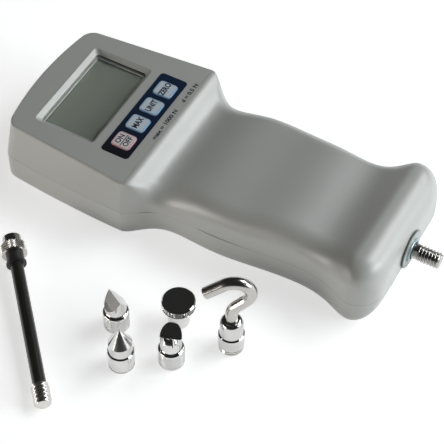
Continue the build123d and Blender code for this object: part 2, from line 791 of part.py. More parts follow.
with BuildPart() as load_cell:
    block(cell_block_length, cell_block_width, block_top - cell_block_height, block_top, block_x)
    # one slot from each side and two eyes between them leave the block an S
    for way in (-1, 1):
        block(cell_slot, cell_block_width - cell_slot_web, block_top - cell_block_height,
              block_top, block_x + way * cell_slot_offset, -way * cell_slot_web / 2,
              mode=Mode.SUBTRACT)
    cylinders([(block_x, way * cell_eye_pitch / 2) for way in (-1, 1)], cell_eye_radius,
              block_top - cell_block_height, block_top, mode=Mode.SUBTRACT)
    ring(block_x0, block_x0 + anchor_bolt_depth, anchor_bolt_radius + fit_gap,
         mode=Mode.SUBTRACT)
    ring(block_x1 - stud_bore_depth, block_x1, stud_radius + fit_gap, mode=Mode.SUBTRACT)
load_cell.part.label = "load_cell"
export_step(load_cell.part, "parts/load_cell.step")

with BuildPart() as anchor_bolt:
    ring(anchor_x0 - anchor_bolt_head, anchor_x0, anchor_bolt_head_radius)
    ring(anchor_x0, block_x0 + anchor_bolt_depth - screw_run_out, anchor_bolt_radius)
    with BuildSketch(across(anchor_x0 - anchor_bolt_head)):
        RegularPolygon(anchor_bolt_key_flats / 2, 6, major_radius=False)
    extrude(amount=anchor_bolt_key_depth, mode=Mode.SUBTRACT)
anchor_bolt.part.label = "anchor_bolt"
export_step(anchor_bolt.part, "parts/anchor_bolt.step")

with BuildPart() as load_stud:
    ring(stud_x0, flange_x0 + flange_thickness, stud_radius)
    ring(flange_x0 + flange_thickness, stud_x1 - stud_thread_length, stud_relief_radius)
    ring(stud_x1 - stud_thread_length, stud_x1, stud_radius)
    chamfer(load_stud.edges().group_by(Axis.X)[-1], stud_tip_chamfer)
load_stud.part.label = "load_stud"
export_step(load_stud.part, "parts/load_stud.step")

with BuildPart() as stud_nut:
    with BuildSketch(across(block_x1 + stud_nut_gap)):
        RegularPolygon(stud_nut_across_flats / 2, 6, major_radius=False)
        Circle(stud_radius, mode=Mode.SUBTRACT)
    extrude(amount=stud_nut_thickness)
stud_nut.part.label = "stud_nut"
export_step(stud_nut.part, "parts/stud_nut.step")

with BuildPart() as stud_flange:
    ring(flange_x0, flange_x0 + flange_thickness, flange_radius, stud_radius)
    chamfer(stud_flange.edges().filter_by(GeomType.CIRCLE).group_by(SortBy.RADIUS)[-1],
            flange_chamfer)
stud_flange.part.label = "stud_flange"
export_step(stud_flange.part, "parts/stud_flange.step")

with BuildPart() as dust_seal:
    ring(x_end - wall, x_end - wall + seal_thickness, seal_radius, stud_radius + seal_clearance)
dust_seal.part.label = "dust_seal"
export_step(dust_seal.part, "parts/dust_seal.step")

# ---------------------------------------------------------------- signal ribbon
ribbon_low = bay_lid + ribbon_lift + ribbon_thickness / 2
ribbon_high = block_top + ribbon_lift + ribbon_thickness / 2
ribbon_climb = anchor_x0 - anchor_bolt_head - ribbon_bend
with BuildPart() as signal_ribbon:
    with BuildLine(Plane.XZ) as route:
        FilletPolyline(
            (connector_x1, connector_z),
            (connector_x1 + 3 * ribbon_bend, connector_z),
            (bay_x0, ribbon_low),
            (ribbon_climb - 2 * (ribbon_high - ribbon_low), ribbon_low),
            (ribbon_climb, ribbon_high),
            (block_x - cell_slot_offset - cell_slot, ribbon_high),
            radius=ribbon_bend,
        )
    with BuildSketch(Plane(origin=route.line @ 0, x_dir=(0, 1, 0), z_dir=route.line % 0)):
        Rectangle(ribbon_width, ribbon_thickness)
    sweep(path=route.line)
signal_ribbon.part.label = "signal_ribbon"
export_step(signal_ribbon.part, "parts/signal_ribbon.step")

# ---------------------------------------------------------------- attachments
band_foot = base_height + groove_width
socket = [(0, socket_depth), (socket_radius, socket_depth), (socket_radius, 0)]
knurled_base = socket + [
    (base_radius - base_chamfer, 0), (base_radius, base_chamfer),
    (base_radius, base_height - base_chamfer), (base_radius - base_chamfer, base_height),
    (base_radius - groove_depth, base_height), (base_radius - groove_depth, band_foot),
]

with BuildPart() as chisel_tip:
    turned(upright(chisel_place), knurled_base + [
        (tip_radius, band_foot), (tip_radius, chisel_height), (0, chisel_height),
    ])
    # two flanks leave a ridge right across
    for way in (-1, 1):
        with BuildSketch(upright(chisel_place, chisel_turn + 90)):
            with BuildLine():
                Polyline((0, chisel_height), (2 * way * tip_radius, chisel_height),
                         (2 * way * tip_radius, chisel_height - 2 * chisel_flank_drop),
                         close=True)
            make_face()
        extrude(amount=2 * tip_radius, both=True, mode=Mode.SUBTRACT)
chisel_tip.part.label = "chisel_tip"
export_step(chisel_tip.part, "parts/chisel_tip.step")

with BuildPart() as cone_tip:
    turned(upright(cone_place), knurled_base + [
        (band_radius, band_foot), (band_radius, band_foot + cone_band_height),
        (cone_point_radius, cone_height), (0, cone_height),
    ])
cone_tip.part.label = "cone_tip"
export_step(cone_tip.part, "parts/cone_tip.step")

with BuildPart() as notch_tip:
    turned(upright(notch_place), knurled_base + [
        (tip_radius, band_foot), (tip_radius, notch_height), (0, notch_height),
    ])
    with BuildSketch(upright(notch_place, notch_turn + 90)):
        with BuildLine():
            Polyline((notch_land - tip_radius, notch_height), (0, notch_height - notch_depth),
                     (tip_radius - notch_land, notch_height), close=True)
        make_face()
    extrude(amount=2 * tip_radius, both=True, mode=Mode.SUBTRACT)
notch_tip.part.label = "notch_tip"
export_step(notch_tip.part, "parts/notch_tip.step")

disc_foot = disc_height - disc_thickness
with BuildPart() as flat_disc:
    turned(upright(disc_place), socket + [
        (disc_stem_radius - base_chamfer, 0), (disc_stem_radius, base_chamfer),
        (disc_stem_radius, disc_foot), (disc_radius - base_chamfer, disc_foot),
        (disc_radius, disc_foot + base_chamfer), (disc_radius, disc_height - base_chamfer),
        (disc_radius - base_chamfer, disc_height), (0, disc_height),
    ])
flat_disc.part.label = "flat_disc"
export_step(flat_disc.part, "parts/flat_disc.step")

neck_foot = band_foot + hook_band_height
wire_foot = socket_depth + hook_socket_web
with BuildPart() as hook_base:
    turned(upright(hook_place), knurled_base + [
        (band_radius, band_foot), (band_radius, neck_foot),
        (hook_neck_radius, neck_foot + hook_neck_height),
        (hook_wire_radius + fit_gap, neck_foot + hook_neck_height),
        (hook_wire_radius + fit_gap, wire_foot), (0, wire_foot),
    ])
hook_base.part.label = "hook_base"
export_step(hook_base.part, "parts/hook_base.step")

# The wire climbs from the base, leans out to the throat, goes round the loop and ends straight
throat_way = (cos(radians(hook_throat_angle)), sin(radians(hook_throat_angle)))
tip_way = (cos(radians(hook_tip_angle)), sin(radians(hook_tip_angle)))
throat = (hook_loop_offset + hook_loop_radius * throat_way[0],
          hook_loop_height + hook_loop_radius * throat_way[1])
loop_end = (hook_loop_offset + hook_loop_radius * tip_way[0],
            hook_loop_height + hook_loop_radius * tip_way[1])
elbow_height = throat[1] + throat[0] * throat_way[0] / throat_way[1]
with BuildPart() as hook_wire:
    with BuildLine(upright(hook_place, hook_turn)) as bend:
        FilletPolyline((0, wire_foot), (0, elbow_height), throat, radius=hook_bend_radius)
        ThreePointArc(throat, (hook_loop_offset + hook_loop_radius, hook_loop_height), loop_end)
        Line(loop_end, (loop_end[0] - hook_tip_length * tip_way[1],
                        loop_end[1] + hook_tip_length * tip_way[0]))
    with BuildSketch(Plane.XY.offset(wire_foot)):
        with Locations(hook_place):
            Circle(hook_wire_radius)
    sweep(path=bend.wires()[0])
hook_wire.part.label = "hook_wire"
export_step(hook_wire.part, "parts/hook_wire.step")

# ---------------------------------------------------------------- extension rod
# It lies on its thread and on the near edge of its knurled coupling, so its axis climbs
collar_x1 = rod_length + rod_flange_thickness
sleeve_x1 = collar_x1 + rod_sleeve_length
nose_x0 = sleeve_x1 + coupling_length
nose_x1 = nose_x0 + coupling_nose_length
rod_climb = (base_radius - stud_radius) / sleeve_x1
rod_side, rod_rest = cos(radians(rod_turn)), sin(radians(rod_turn))
rod_plane = Plane(origin=(*rod_tip, stud_radius), x_dir=(rod_rest, -rod_side, 0),
                  z_dir=(-rod_side * rod_climb, -rod_rest * rod_climb, 1))

with BuildPart() as extension_rod:
    turned(rod_plane, [
        (0, 0), (stud_radius - stud_tip_chamfer, 0), (stud_radius, stud_tip_chamfer),
        (stud_radius, rod_thread_length), (rod_radius, rod_thread_length),
        (rod_radius, sleeve_x1), (0, sleeve_x1),
    ])
extension_rod.part.label = "extension_rod"
export_step(extension_rod.part, "parts/extension_rod.step")

with BuildPart() as rod_collar:
    turned(rod_plane, [
        (rod_radius, rod_length), (rod_flange_radius, rod_length),
        (rod_flange_radius, collar_x1), (rod_sleeve_radius, collar_x1),
        (rod_sleeve_radius, sleeve_x1), (rod_radius, sleeve_x1),
    ])
rod_collar.part.label = "rod_collar"
export_step(rod_collar.part, "parts/rod_collar.step")

with BuildPart() as rod_coupling:
    turned(rod_plane, [
        (0, sleeve_x1), (base_radius - base_chamfer, sleeve_x1),
        (base_radius, sleeve_x1 + base_chamfer), (base_radius, nose_x0 - base_chamfer),
        (base_radius - base_chamfer, nose_x0), (coupling_nose_radius, nose_x0),
        (coupling_nose_radius, nose_x1), (socket_radius, nose_x1),
        (socket_radius, nose_x1 - socket_depth), (0, nose_x1 - socket_depth),
    ])
rod_coupling.part.label = "rod_coupling"
export_step(rod_coupling.part, "parts/rod_coupling.step")
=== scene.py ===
# %% [markdown]
# # A hand-held force gauge
#
# The solid pieces of the gauge come ready made, at their real size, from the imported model. This
# lesson gives each of them its finish and adds what is too fine for the solids: screw threads,
# knurling, printed words and the frame of the display. The solids are loaded first, because
# every piece that follows takes its place from them.

# %% Load the frame
import json
from math import atan2, cos, hypot, pi, radians, sin

import bpy
from mathutils import Matrix, Vector


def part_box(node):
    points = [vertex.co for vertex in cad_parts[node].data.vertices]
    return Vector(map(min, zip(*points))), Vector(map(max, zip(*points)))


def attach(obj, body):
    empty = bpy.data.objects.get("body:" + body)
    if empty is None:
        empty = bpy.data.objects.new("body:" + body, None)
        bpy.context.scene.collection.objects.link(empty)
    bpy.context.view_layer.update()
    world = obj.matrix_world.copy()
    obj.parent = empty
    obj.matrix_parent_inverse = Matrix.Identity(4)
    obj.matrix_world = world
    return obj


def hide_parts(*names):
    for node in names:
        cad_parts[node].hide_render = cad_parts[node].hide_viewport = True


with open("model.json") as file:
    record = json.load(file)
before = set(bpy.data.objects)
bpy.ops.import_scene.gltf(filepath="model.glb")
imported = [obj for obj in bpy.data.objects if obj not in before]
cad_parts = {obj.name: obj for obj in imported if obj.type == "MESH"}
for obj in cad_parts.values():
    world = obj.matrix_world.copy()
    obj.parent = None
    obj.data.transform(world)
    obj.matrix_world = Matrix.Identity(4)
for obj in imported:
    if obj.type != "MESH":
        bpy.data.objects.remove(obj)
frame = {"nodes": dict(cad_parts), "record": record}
nodes = frame["nodes"]
mounts = {mount["name"]: mount for mount in frame["record"]["mounts"]}
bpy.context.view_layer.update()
MM = 0.001
print("solid pieces:", len(nodes))

# %% [markdown]
# ## Camera
#
# A long lens from about 0.74 m away looks down on the gauge at 51 degrees. Its place is written
# as a turn round the object, a height and a distance, because those three are easy to change
# one at a time.

# %% Camera
FRAME_PIXELS, FOCAL_PIXELS = 444, 1605.5
SENSOR_WIDTH, NEAR_CLIP = 36.0, 0.05
AZIMUTH, ELEVATION, ROLL = radians(29.19), radians(50.77), radians(0.13)
CAMERA_DISTANCE = 742.9 * MM
CAMERA_TARGET = Vector((10.22, -15.28, 0.0)) * MM

scene = bpy.context.scene
camera_data = bpy.data.cameras.new("camera")
camera_data.sensor_width = SENSOR_WIDTH
camera_data.lens = FOCAL_PIXELS * SENSOR_WIDTH / FRAME_PIXELS
camera_data.clip_start = NEAR_CLIP
camera = bpy.data.objects.new("camera", camera_data)
scene.collection.objects.link(camera)
scene.camera = camera
away = Vector((sin(AZIMUTH) * cos(ELEVATION), -cos(AZIMUTH) * cos(ELEVATION), sin(ELEVATION)))
level = Vector((cos(AZIMUTH), sin(AZIMUTH), 0.0))
right = Matrix.Rotation(ROLL, 3, away) @ level
axes = Matrix((right, away.cross(right), away)).transposed()
camera.matrix_world = Matrix.Translation(CAMERA_TARGET + away * CAMERA_DISTANCE) @ axes.to_4x4()
print("lens", round(camera_data.lens, 1), "mm")

# %% [markdown]
# ## Room
#
# Bright steel has no colour of its own and shows only what surrounds it. In a pale room it would
# look like white plastic, so the room is dark, and lighter only just above the table, where its
# far walls would be. The shade depends on the height alone, and a colour ramp says how.

# %% Room
AT_TABLE, AT_CEILING = (0.20, 0.20, 0.20, 1), (0.026, 0.027, 0.026, 1)
SHADES_BETWEEN = {0.06: 0.06, 0.30: 0.026}
scene.view_settings.view_transform = "Standard"
world = bpy.data.worlds.new("room")
scene.world = world
world.use_nodes = True
room = world.node_tree
room.nodes.clear()
look = room.nodes.new("ShaderNodeTexCoord")
split = room.nodes.new("ShaderNodeSeparateXYZ")
heights = room.nodes.new("ShaderNodeValToRGB")
shades = heights.color_ramp.elements
shades[0].color = AT_TABLE
shades[1].color = AT_CEILING
for height, grey in SHADES_BETWEEN.items():
    shades.new(height).color = (grey, grey, grey, 1)
background = room.nodes.new("ShaderNodeBackground")
out = room.nodes.new("ShaderNodeOutputWorld")
room.links.new(look.outputs["Generated"], split.inputs["Vector"])
room.links.new(split.outputs["Z"], heights.inputs["Fac"])
room.links.new(heights.outputs["Color"], background.inputs["Color"])
room.links.new(background.outputs["Background"], out.inputs["Surface"])
print("shades in the room:", len(shades))

# %% [markdown]
# ## Lamps
#
# Three large soft lamps give each side of the gauge its own brightness, which shows its form. The
# first stands low on the stud's side, so that what faces it is much brighter than the top. A
# long low one in front lights the upright walls, and a high one behind lights the top. None
# stands where the flat disc would mirror it, so that its polished face stays dark.


# %% Lamps
def soft_lamp(name, place, aim, size, watts, colour):
    """A rectangular area lamp at a place, turned to its aim."""
    data = bpy.data.lights.new(name, "AREA")
    data.shape = "RECTANGLE"
    data.size, data.size_y = size
    data.energy = watts
    data.color = colour
    lamp = bpy.data.objects.new(name, data)
    scene.collection.objects.link(lamp)
    lamp.location = place
    lamp.rotation_euler = (Vector(aim) - Vector(place)).to_track_quat("-Z", "Y").to_euler()
    print(name, "at", round(Vector(place).length, 2), "m")


soft_lamp("stud_side_lamp", place=(1.28, 0.38, 0.46), aim=(0.02, 0, 0.02), size=(0.9, 0.5),
          watts=10.5, colour=(0.93, 0.97, 1.0))
soft_lamp("front_lamp", place=(-0.79, -1.09, 0.16), aim=(0, -0.02, 0.01), size=(0.9, 0.28),
          watts=6.3, colour=(1.0, 0.95, 0.89))
soft_lamp("high_lamp", place=(0.68, 0.83, 1.05), aim=(0, 0, 0.02), size=(0.8, 0.6),
          watts=9.4, colour=(0.97, 0.99, 1.0))

# %% [markdown]
# ## Node helpers
#
# A finish is a small network of nodes, and most of them do sums on a number, a direction or a
# colour. One helper for each kind adds the node, fills in what is plain, links what comes from
# another node, and hands back the result, so that a mask can be written like a formula.


# %% Node helpers
def math_node(tree, operation, first, second=None, third=None):
    """A sum on numbers or on the sockets that give them."""
    node = tree.nodes.new("ShaderNodeMath")
    node.operation = operation
    for i, value in enumerate((first, second, third)):
        if isinstance(value, (int, float)):
            node.inputs[i].default_value = value
        elif value is not None:
            tree.links.new(value, node.inputs[i])
    return node.outputs[0]


def vector_node(tree, operation, first, second=None):
    """A sum on directions, each a tuple or the socket that gives it."""
    node = tree.nodes.new("ShaderNodeVectorMath")
    node.operation = operation
    for i, value in enumerate((first, second)):
        if isinstance(value, tuple):
            node.inputs[i].default_value = value
        elif value is not None:
            tree.links.new(value, node.inputs[i])
    return node.outputs[0]


def mix_colour(tree, factor, first, second):
    """A mix of two colours, each a colour or the socket that gives it."""
    node = tree.nodes.new("ShaderNodeMix")
    node.data_type = "RGBA"
    tree.links.new(factor, node.inputs["Factor"])
    for label, value in (("A", first), ("B", second)):
        if isinstance(value, tuple):
            node.inputs[label].default_value = (*value, 1)
        else:
            tree.links.new(value, node.inputs[label])
    return node.outputs["Result"]


def place_axes(tree):
    """The X, Y and Z of the point that is shaded, in metres."""
    place = tree.nodes.new("ShaderNodeTexCoord")
    split_place = tree.nodes.new("ShaderNodeSeparateXYZ")
    tree.links.new(place.outputs["Object"], split_place.inputs["Vector"])
    return split_place.outputs


# %% [markdown]
# ## Table
#
# The table is one large sheet of white paper. It shows as pure white to the camera and in
# reflections, but it gives no light of its own to the gauge, so the soft shadows stay. A Light
# Path node tells those rays apart.

# %% Table
TABLE_SIZE, TABLE_DROP = 6.0, 0.0002
PAPER_WHITE, PAPER_ROUGHNESS, PAPER_SHEEN, PAPER_GLOW = 0.86, 0.9, 0.1, 0.62
bpy.ops.object.select_all(action="DESELECT")
bpy.ops.mesh.primitive_plane_add(size=TABLE_SIZE, location=(0, 0, -TABLE_DROP))
table = bpy.context.object
table.name = "table"
paper = bpy.data.materials.new("white_paper")
paper.use_nodes = True
tree = paper.node_tree
shader = tree.nodes["Principled BSDF"]
shader.inputs["Base Color"].default_value = (PAPER_WHITE, PAPER_WHITE, PAPER_WHITE, 1)
shader.inputs["Roughness"].default_value = PAPER_ROUGHNESS
shader.inputs["Specular IOR Level"].default_value = PAPER_SHEEN
shader.inputs["Emission Color"].default_value = (1, 1, 1, 1)
rays = tree.nodes.new("ShaderNodeLightPath")
seen = math_node(tree, "MAXIMUM", rays.outputs["Is Camera Ray"], rays.outputs["Is Glossy Ray"])
seen = math_node(tree, "MAXIMUM", seen, rays.outputs["Is Transmission Ray"])
tree.links.new(math_node(tree, "MULTIPLY", seen, PAPER_GLOW), shader.inputs["Emission Strength"])
table.data.materials.append(paper)
print("table", TABLE_SIZE, "m wide")

# %% [markdown]
# ## Shared effects
#
# Moulded plastic is never quite even: a fine spark-eroded grain breaks up its shine, and its
# colour drifts a little. Turned steel carries fine rings from the lathe tool. Each effect is a
# node group with named inputs, so that every material sets its own amounts, and both groups
# tie their pattern to the colour, the roughness and the normal in the same way.

# %% Effect groups
COMMON_INPUTS = [("Vector", "NodeSocketVector", None),
                 ("Colour", "NodeSocketColor", (0.5, 0.5, 0.5, 1)),
                 ("Roughness", "NodeSocketFloat", 0.5), ("Depth", "NodeSocketFloat", 0.2),
                 ("Drift", "NodeSocketFloat", 0.05)]
COMMON_OUTPUTS = [("Colour", "NodeSocketColor"), ("Roughness", "NodeSocketFloat"),
                  ("Normal", "NodeSocketVector")]
ROUGHNESS_DRIFT = 0.15


def new_group(name, own_input, own_value):
    """A shader node group with the common sockets and one number of its own."""
    group = bpy.data.node_groups.new(name, "ShaderNodeTree")
    for label, kind, value in (*COMMON_INPUTS, (own_input, "NodeSocketFloat", own_value)):
        socket = group.interface.new_socket(label, in_out="INPUT", socket_type=kind)
        if value is not None:
            socket.default_value = value
    for label, kind in COMMON_OUTPUTS:
        group.interface.new_socket(label, in_out="OUTPUT", socket_type=kind)
    return group, group.nodes.new("NodeGroupInput"), group.nodes.new("NodeGroupOutput")


def noise(tree, vector, scale, detail):
    """A noise texture's grey value; its scale is a number or a socket."""
    node = tree.nodes.new("ShaderNodeTexNoise")
    node.inputs["Detail"].default_value = detail
    tree.links.new(vector, node.inputs["Vector"])
    if isinstance(scale, (int, float)):
        node.inputs["Scale"].default_value = scale
    else:
        tree.links.new(scale, node.inputs["Scale"])
    return node.outputs["Fac"]


def finish_group(group, given, result, relief, cloud, depth):
    """Tie a relief and a cloudy drift to the group's colour, roughness and normal."""
    drift = math_node(group, "SUBTRACT", cloud, 0.5)
    tint = group.nodes.new("ShaderNodeVectorMath")
    tint.operation = "SCALE"
    group.links.new(given.outputs["Colour"], tint.inputs[0])
    group.links.new(math_node(group, "MULTIPLY_ADD", drift, given.outputs["Drift"], 1.0),
                    tint.inputs["Scale"])
    bump = group.nodes.new("ShaderNodeBump")
    bump.inputs["Distance"].default_value = depth
    group.links.new(relief, bump.inputs["Height"])
    group.links.new(given.outputs["Depth"], bump.inputs["Strength"])
    duller = math_node(group, "MULTIPLY_ADD", drift, ROUGHNESS_DRIFT, given.outputs["Roughness"])
    group.links.new(tint.outputs[0], result.inputs["Colour"])
    group.links.new(duller, result.inputs["Roughness"])
    group.links.new(bump.outputs["Normal"], result.inputs["Normal"])
    print("group:", group.name)


# %% [markdown]
# ## Moulded surface
#
# The mould's spark-eroded wall leaves an even, fine grain, and a noise texture on the object's
# own coordinates looks the same on every side. A second, much larger noise drifts the colour.

# %% Moulded surface
moulded, given, result = new_group("moulded_surface", "Grain", 3000.0)
grain = noise(moulded, given.outputs["Vector"], given.outputs["Grain"], detail=3.0)
cloud = noise(moulded, given.outputs["Vector"], scale=35.0, detail=4.0)
finish_group(moulded, given, result, grain, cloud, depth=0.1 * MM)

# %% [markdown]
# ## Turned surface
#
# A lathe tool leaves fine rings round the axis of a piece. The same noise does for these too, once
# it is squeezed along the axis, Z, far more than across it. No ring is then quite like the next.

# %% Turned surface
RING_STRETCH = (2.0, 2.0, 80.0)
turned_marks, given, result = new_group("turned_surface", "Rings", 60.0)
squeezed = vector_node(turned_marks, "MULTIPLY", given.outputs["Vector"], RING_STRETCH)
rings = noise(turned_marks, squeezed, given.outputs["Rings"], detail=2.0)
cloud = noise(turned_marks, given.outputs["Vector"], scale=120.0, detail=3.0)
finish_group(turned_marks, given, result, rings, cloud, depth=0.05 * MM)

# %% [markdown]
# ## Material maker
#
# Every finish is the same short chain: a place, perhaps turned so that rings run along another
# axis, one of the two groups, and a Principled shader. One function builds the chain, so a
# finish only has to name what is different about it.

# %% Material maker
COAT_ROUGHNESS = 0.12
RINGS_ALONG_X = (0.0, radians(-90), 0.0)


def finish(name, group, colour, roughness, fineness, depth=0.2, drift=0.05, metallic=0.0,
           coat=0.0, turn=(0.0, 0.0, 0.0)):
    """A material whose colour, shine and relief come from one of the two groups."""
    material = bpy.data.materials.new(name)
    material.use_nodes = True
    tree = material.node_tree
    shader = tree.nodes["Principled BSDF"]
    shader.inputs["Metallic"].default_value = metallic
    shader.inputs["Coat Weight"].default_value = coat
    shader.inputs["Coat Roughness"].default_value = COAT_ROUGHNESS
    place = tree.nodes.new("ShaderNodeTexCoord")
    turned_place = tree.nodes.new("ShaderNodeMapping")
    turned_place.inputs["Rotation"].default_value = turn
    effect = tree.nodes.new("ShaderNodeGroup")
    effect.node_tree = group
    effect.name = "effect"
    effect.inputs["Colour"].default_value = (*colour, 1)
    effect.inputs["Roughness"].default_value = roughness
    effect.inputs["Depth"].default_value = depth
    effect.inputs["Drift"].default_value = drift
    effect.inputs["Grain" if group is moulded else "Rings"].default_value = fineness
    tree.links.new(place.outputs["Object"], turned_place.inputs["Vector"])
    tree.links.new(turned_place.outputs["Vector"], effect.inputs["Vector"])
    tree.links.new(effect.outputs["Colour"], shader.inputs["Base Color"])
    tree.links.new(effect.outputs["Roughness"], shader.inputs["Roughness"])
    tree.links.new(effect.outputs["Normal"], shader.inputs["Normal"])
    return material


# %% [markdown]
# ## Housing plastic
#
# The two shells are light grey ABS with a satin grain. They meet in a seam that runs level all
# round the gauge, and a real seam shows as a fine dark line, because dirt and shade gather in
# it. The material darkens and sinks every point at the seam's height by a few hundredths of a
# millimetre, which keeps the line equally fine on both shells.

# %% Housing plastic
HOUSING_GREY, HOUSING_ROUGHNESS = (0.53, 0.54, 0.512), 0.42
SEAM_SHADE, SEAM_STRENGTH = (0.10, 0.075, 0.06), 0.8
SEAM_HALF, SEAM_DEPTH = 0.16 * MM, 0.05 * MM


def line_mask(tree, height, middle_height, half):
    """A mask that is full at one height and fades to nothing half a line's width away."""
    apart = math_node(tree, "ABSOLUTE", math_node(tree, "SUBTRACT", height, middle_height))
    near = math_node(tree, "SUBTRACT", 1.0, math_node(tree, "DIVIDE", apart, half))
    return math_node(tree, "MAXIMUM", near, 0.0)


seam_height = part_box("front_shell")[0][2]
housing = finish("housing_plastic", moulded, HOUSING_GREY, HOUSING_ROUGHNESS, 2600.0, depth=0.12,
                 drift=0.04, coat=0.8)
tree = housing.node_tree
shader = tree.nodes["Principled BSDF"]
shader.inputs["Specular IOR Level"].default_value = 1.0
shader.inputs["Coat Roughness"].default_value = HOUSING_ROUGHNESS
effect = tree.nodes["effect"]
axis = place_axes(tree)
seam = math_node(tree, "MULTIPLY", line_mask(tree, axis["Z"], seam_height, SEAM_HALF),
                 SEAM_STRENGTH)
seamed_colour = mix_colour(tree, seam, effect.outputs["Colour"], SEAM_SHADE)
groove = tree.nodes.new("ShaderNodeBump")
groove.invert = True
groove.inputs["Distance"].default_value = SEAM_DEPTH
tree.links.new(seam, groove.inputs["Height"])
tree.links.new(groove.outputs["Normal"], shader.inputs["Normal"])
print("seam at", round(seam_height / MM, 2), "mm")

# %% [markdown]
# ## Painted shade on the edge of the panel
#
# A faint brown line of painted shade lies just under the panel's outer edge, on the narrow chamfer
# there. It is a second level line, but only on the head, and not in the sunk bevel round the
# display, so two more masks keep it to the outside of the head.

# %% Painted shade on the edge of the panel
EDGE_SHADE, EDGE_STRENGTH = (0.17, 0.14, 0.12), 0.6
EDGE_DROP, EDGE_HALF = 0.7 * MM, 0.6 * MM
SHOULDER_X = -27.5 * MM
RECESS_SIDE, RECESS_END = 30.0 * MM, -88.0 * MM
edge_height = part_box("keypad_overlay")[1][2] - EDGE_DROP
on_head = math_node(tree, "LESS_THAN", axis["X"], SHOULDER_X)
past_side = math_node(tree, "GREATER_THAN", math_node(tree, "ABSOLUTE", axis["Y"]), RECESS_SIDE)
past_end = math_node(tree, "LESS_THAN", axis["X"], RECESS_END)
on_edge = math_node(tree, "MULTIPLY", on_head, math_node(tree, "MAXIMUM", past_side, past_end))
# This mask paints shade into the colour along the chamfer under the panel's edge.
painted_shade = math_node(tree, "MULTIPLY", line_mask(tree, axis["Z"], edge_height, EDGE_HALF), on_edge)
edge_shaded_colour = mix_colour(tree, math_node(tree, "MULTIPLY", painted_shade, EDGE_STRENGTH), seamed_colour,
                         EDGE_SHADE)
tree.links.new(edge_shaded_colour, shader.inputs["Base Color"])
print("worn edge at", round(edge_height / MM, 2), "mm")

# %% [markdown]
# ## Soft crest of the pommel
#
# The pommel swells up to a crest and falls away to the end face. A mould maker stones such a
# crest until no line is left on it. A Bevel node does that to the shading: it averages the
# directions of the surface within a small radius. The radius grows from nothing towards the
# crest and stays nothing at the seam, so that every other edge keeps its own shape.

# %% Soft crest of the pommel
CREST_RADIUS, CREST_SAMPLES = 5.0 * MM, 8
CREST_START, CREST_BLEND = 68.0 * MM, 8.0 * MM
CREST_FOOT, CREST_CLIMB = seam_height + 5.0 * MM, 4.0 * MM


def ramp_up(tree, value, start, length):
    """A mask that climbs from 0 to 1 along a length."""
    climb = math_node(tree, "DIVIDE", math_node(tree, "SUBTRACT", value, start), length)
    return math_node(tree, "MINIMUM", math_node(tree, "MAXIMUM", climb, 0.0), 1.0)


near_crest = math_node(tree, "MULTIPLY", ramp_up(tree, axis["X"], CREST_START, CREST_BLEND),
                       ramp_up(tree, axis["Z"], CREST_FOOT, CREST_CLIMB))
facing = tree.nodes.new("ShaderNodeNewGeometry")
stoned = tree.nodes.new("ShaderNodeBevel")
stoned.samples = CREST_SAMPLES
tree.links.new(math_node(tree, "MULTIPLY", near_crest, CREST_RADIUS), stoned.inputs["Radius"])
relief = vector_node(tree, "SUBTRACT", effect.outputs["Normal"], facing.outputs["Normal"])
soft_normal = vector_node(tree, "NORMALIZE",
                          vector_node(tree, "ADD", relief, stoned.outputs["Normal"]))
tree.links.new(soft_normal, groove.inputs["Normal"])
print("crest softened from", round(CREST_START / MM), "mm on")

# %% [markdown]
# ## Plain finishes
#
# Each metal, rubber and plastic is one call with its own colour, roughness and fineness of grain
# or rings. A polished steel is smooth and bright, and one that is worn or oiled is darker and
# rougher, with more drift in its colour. The milled steel is rougher too, and darker as painted
# shade.

# %% Metals
bright_steel = finish("bright_steel", turned_marks, (0.67, 0.67, 0.66), 0.08, 60.0, depth=0.10,
                      drift=0.15, metallic=1.0)
# Its dark colour is painted shade for the chisel's near flank; its roughness and grain stand for
# the milling marks.
milled_shaded_steel = finish("milled_shaded_steel", moulded, (0.17, 0.17, 0.168), 0.45, 500.0, depth=0.5,
                      drift=1.5, metallic=1.0)
hook_steel = finish("hook_steel", turned_marks, (0.51, 0.495, 0.472), 0.22, 15.0, depth=0.10,
                    drift=0.25, metallic=1.0)
base_steel = finish("base_steel", turned_marks, (0.60, 0.60, 0.59), 0.14, 60.0, depth=0.15,
                    drift=0.3, metallic=1.0)
stud_steel = finish("stud_steel", turned_marks, (0.42, 0.41, 0.39), 0.22, 40.0, depth=0.15,
                    drift=0.3, metallic=1.0, turn=RINGS_ALONG_X)
rod_steel = finish("rod_steel", moulded, (0.66, 0.65, 0.63), 0.25, 900.0, depth=0.15, drift=0.3,
                   metallic=1.0)
plated_steel = finish("plated_steel", moulded, (0.62, 0.61, 0.58), 0.32, 1500.0, depth=0.15,
                      drift=0.2, metallic=1.0)
dark_steel = finish("dark_steel", moulded, (0.03, 0.03, 0.03), 0.4, 1800.0, drift=0.3)
rod_black = finish("rod_black", moulded, (0.020, 0.020, 0.017), 0.33, 1300.0, depth=0.25,
                   drift=0.4, coat=0.25)
milled_aluminium = finish("milled_aluminium", moulded, (0.72, 0.72, 0.73), 0.35, 700.0,
                          metallic=1.0)
print("finishes so far:", len(bpy.data.materials))

# %% [markdown]
# ## Plastics, rubber and print
#
# What isn't metal differs mostly in colour and in how even it is. The circuit board and the
# cells' jackets have a clear coat, as varnish and shrunk film do. The display is a grey-green
# film with hardly any grain.

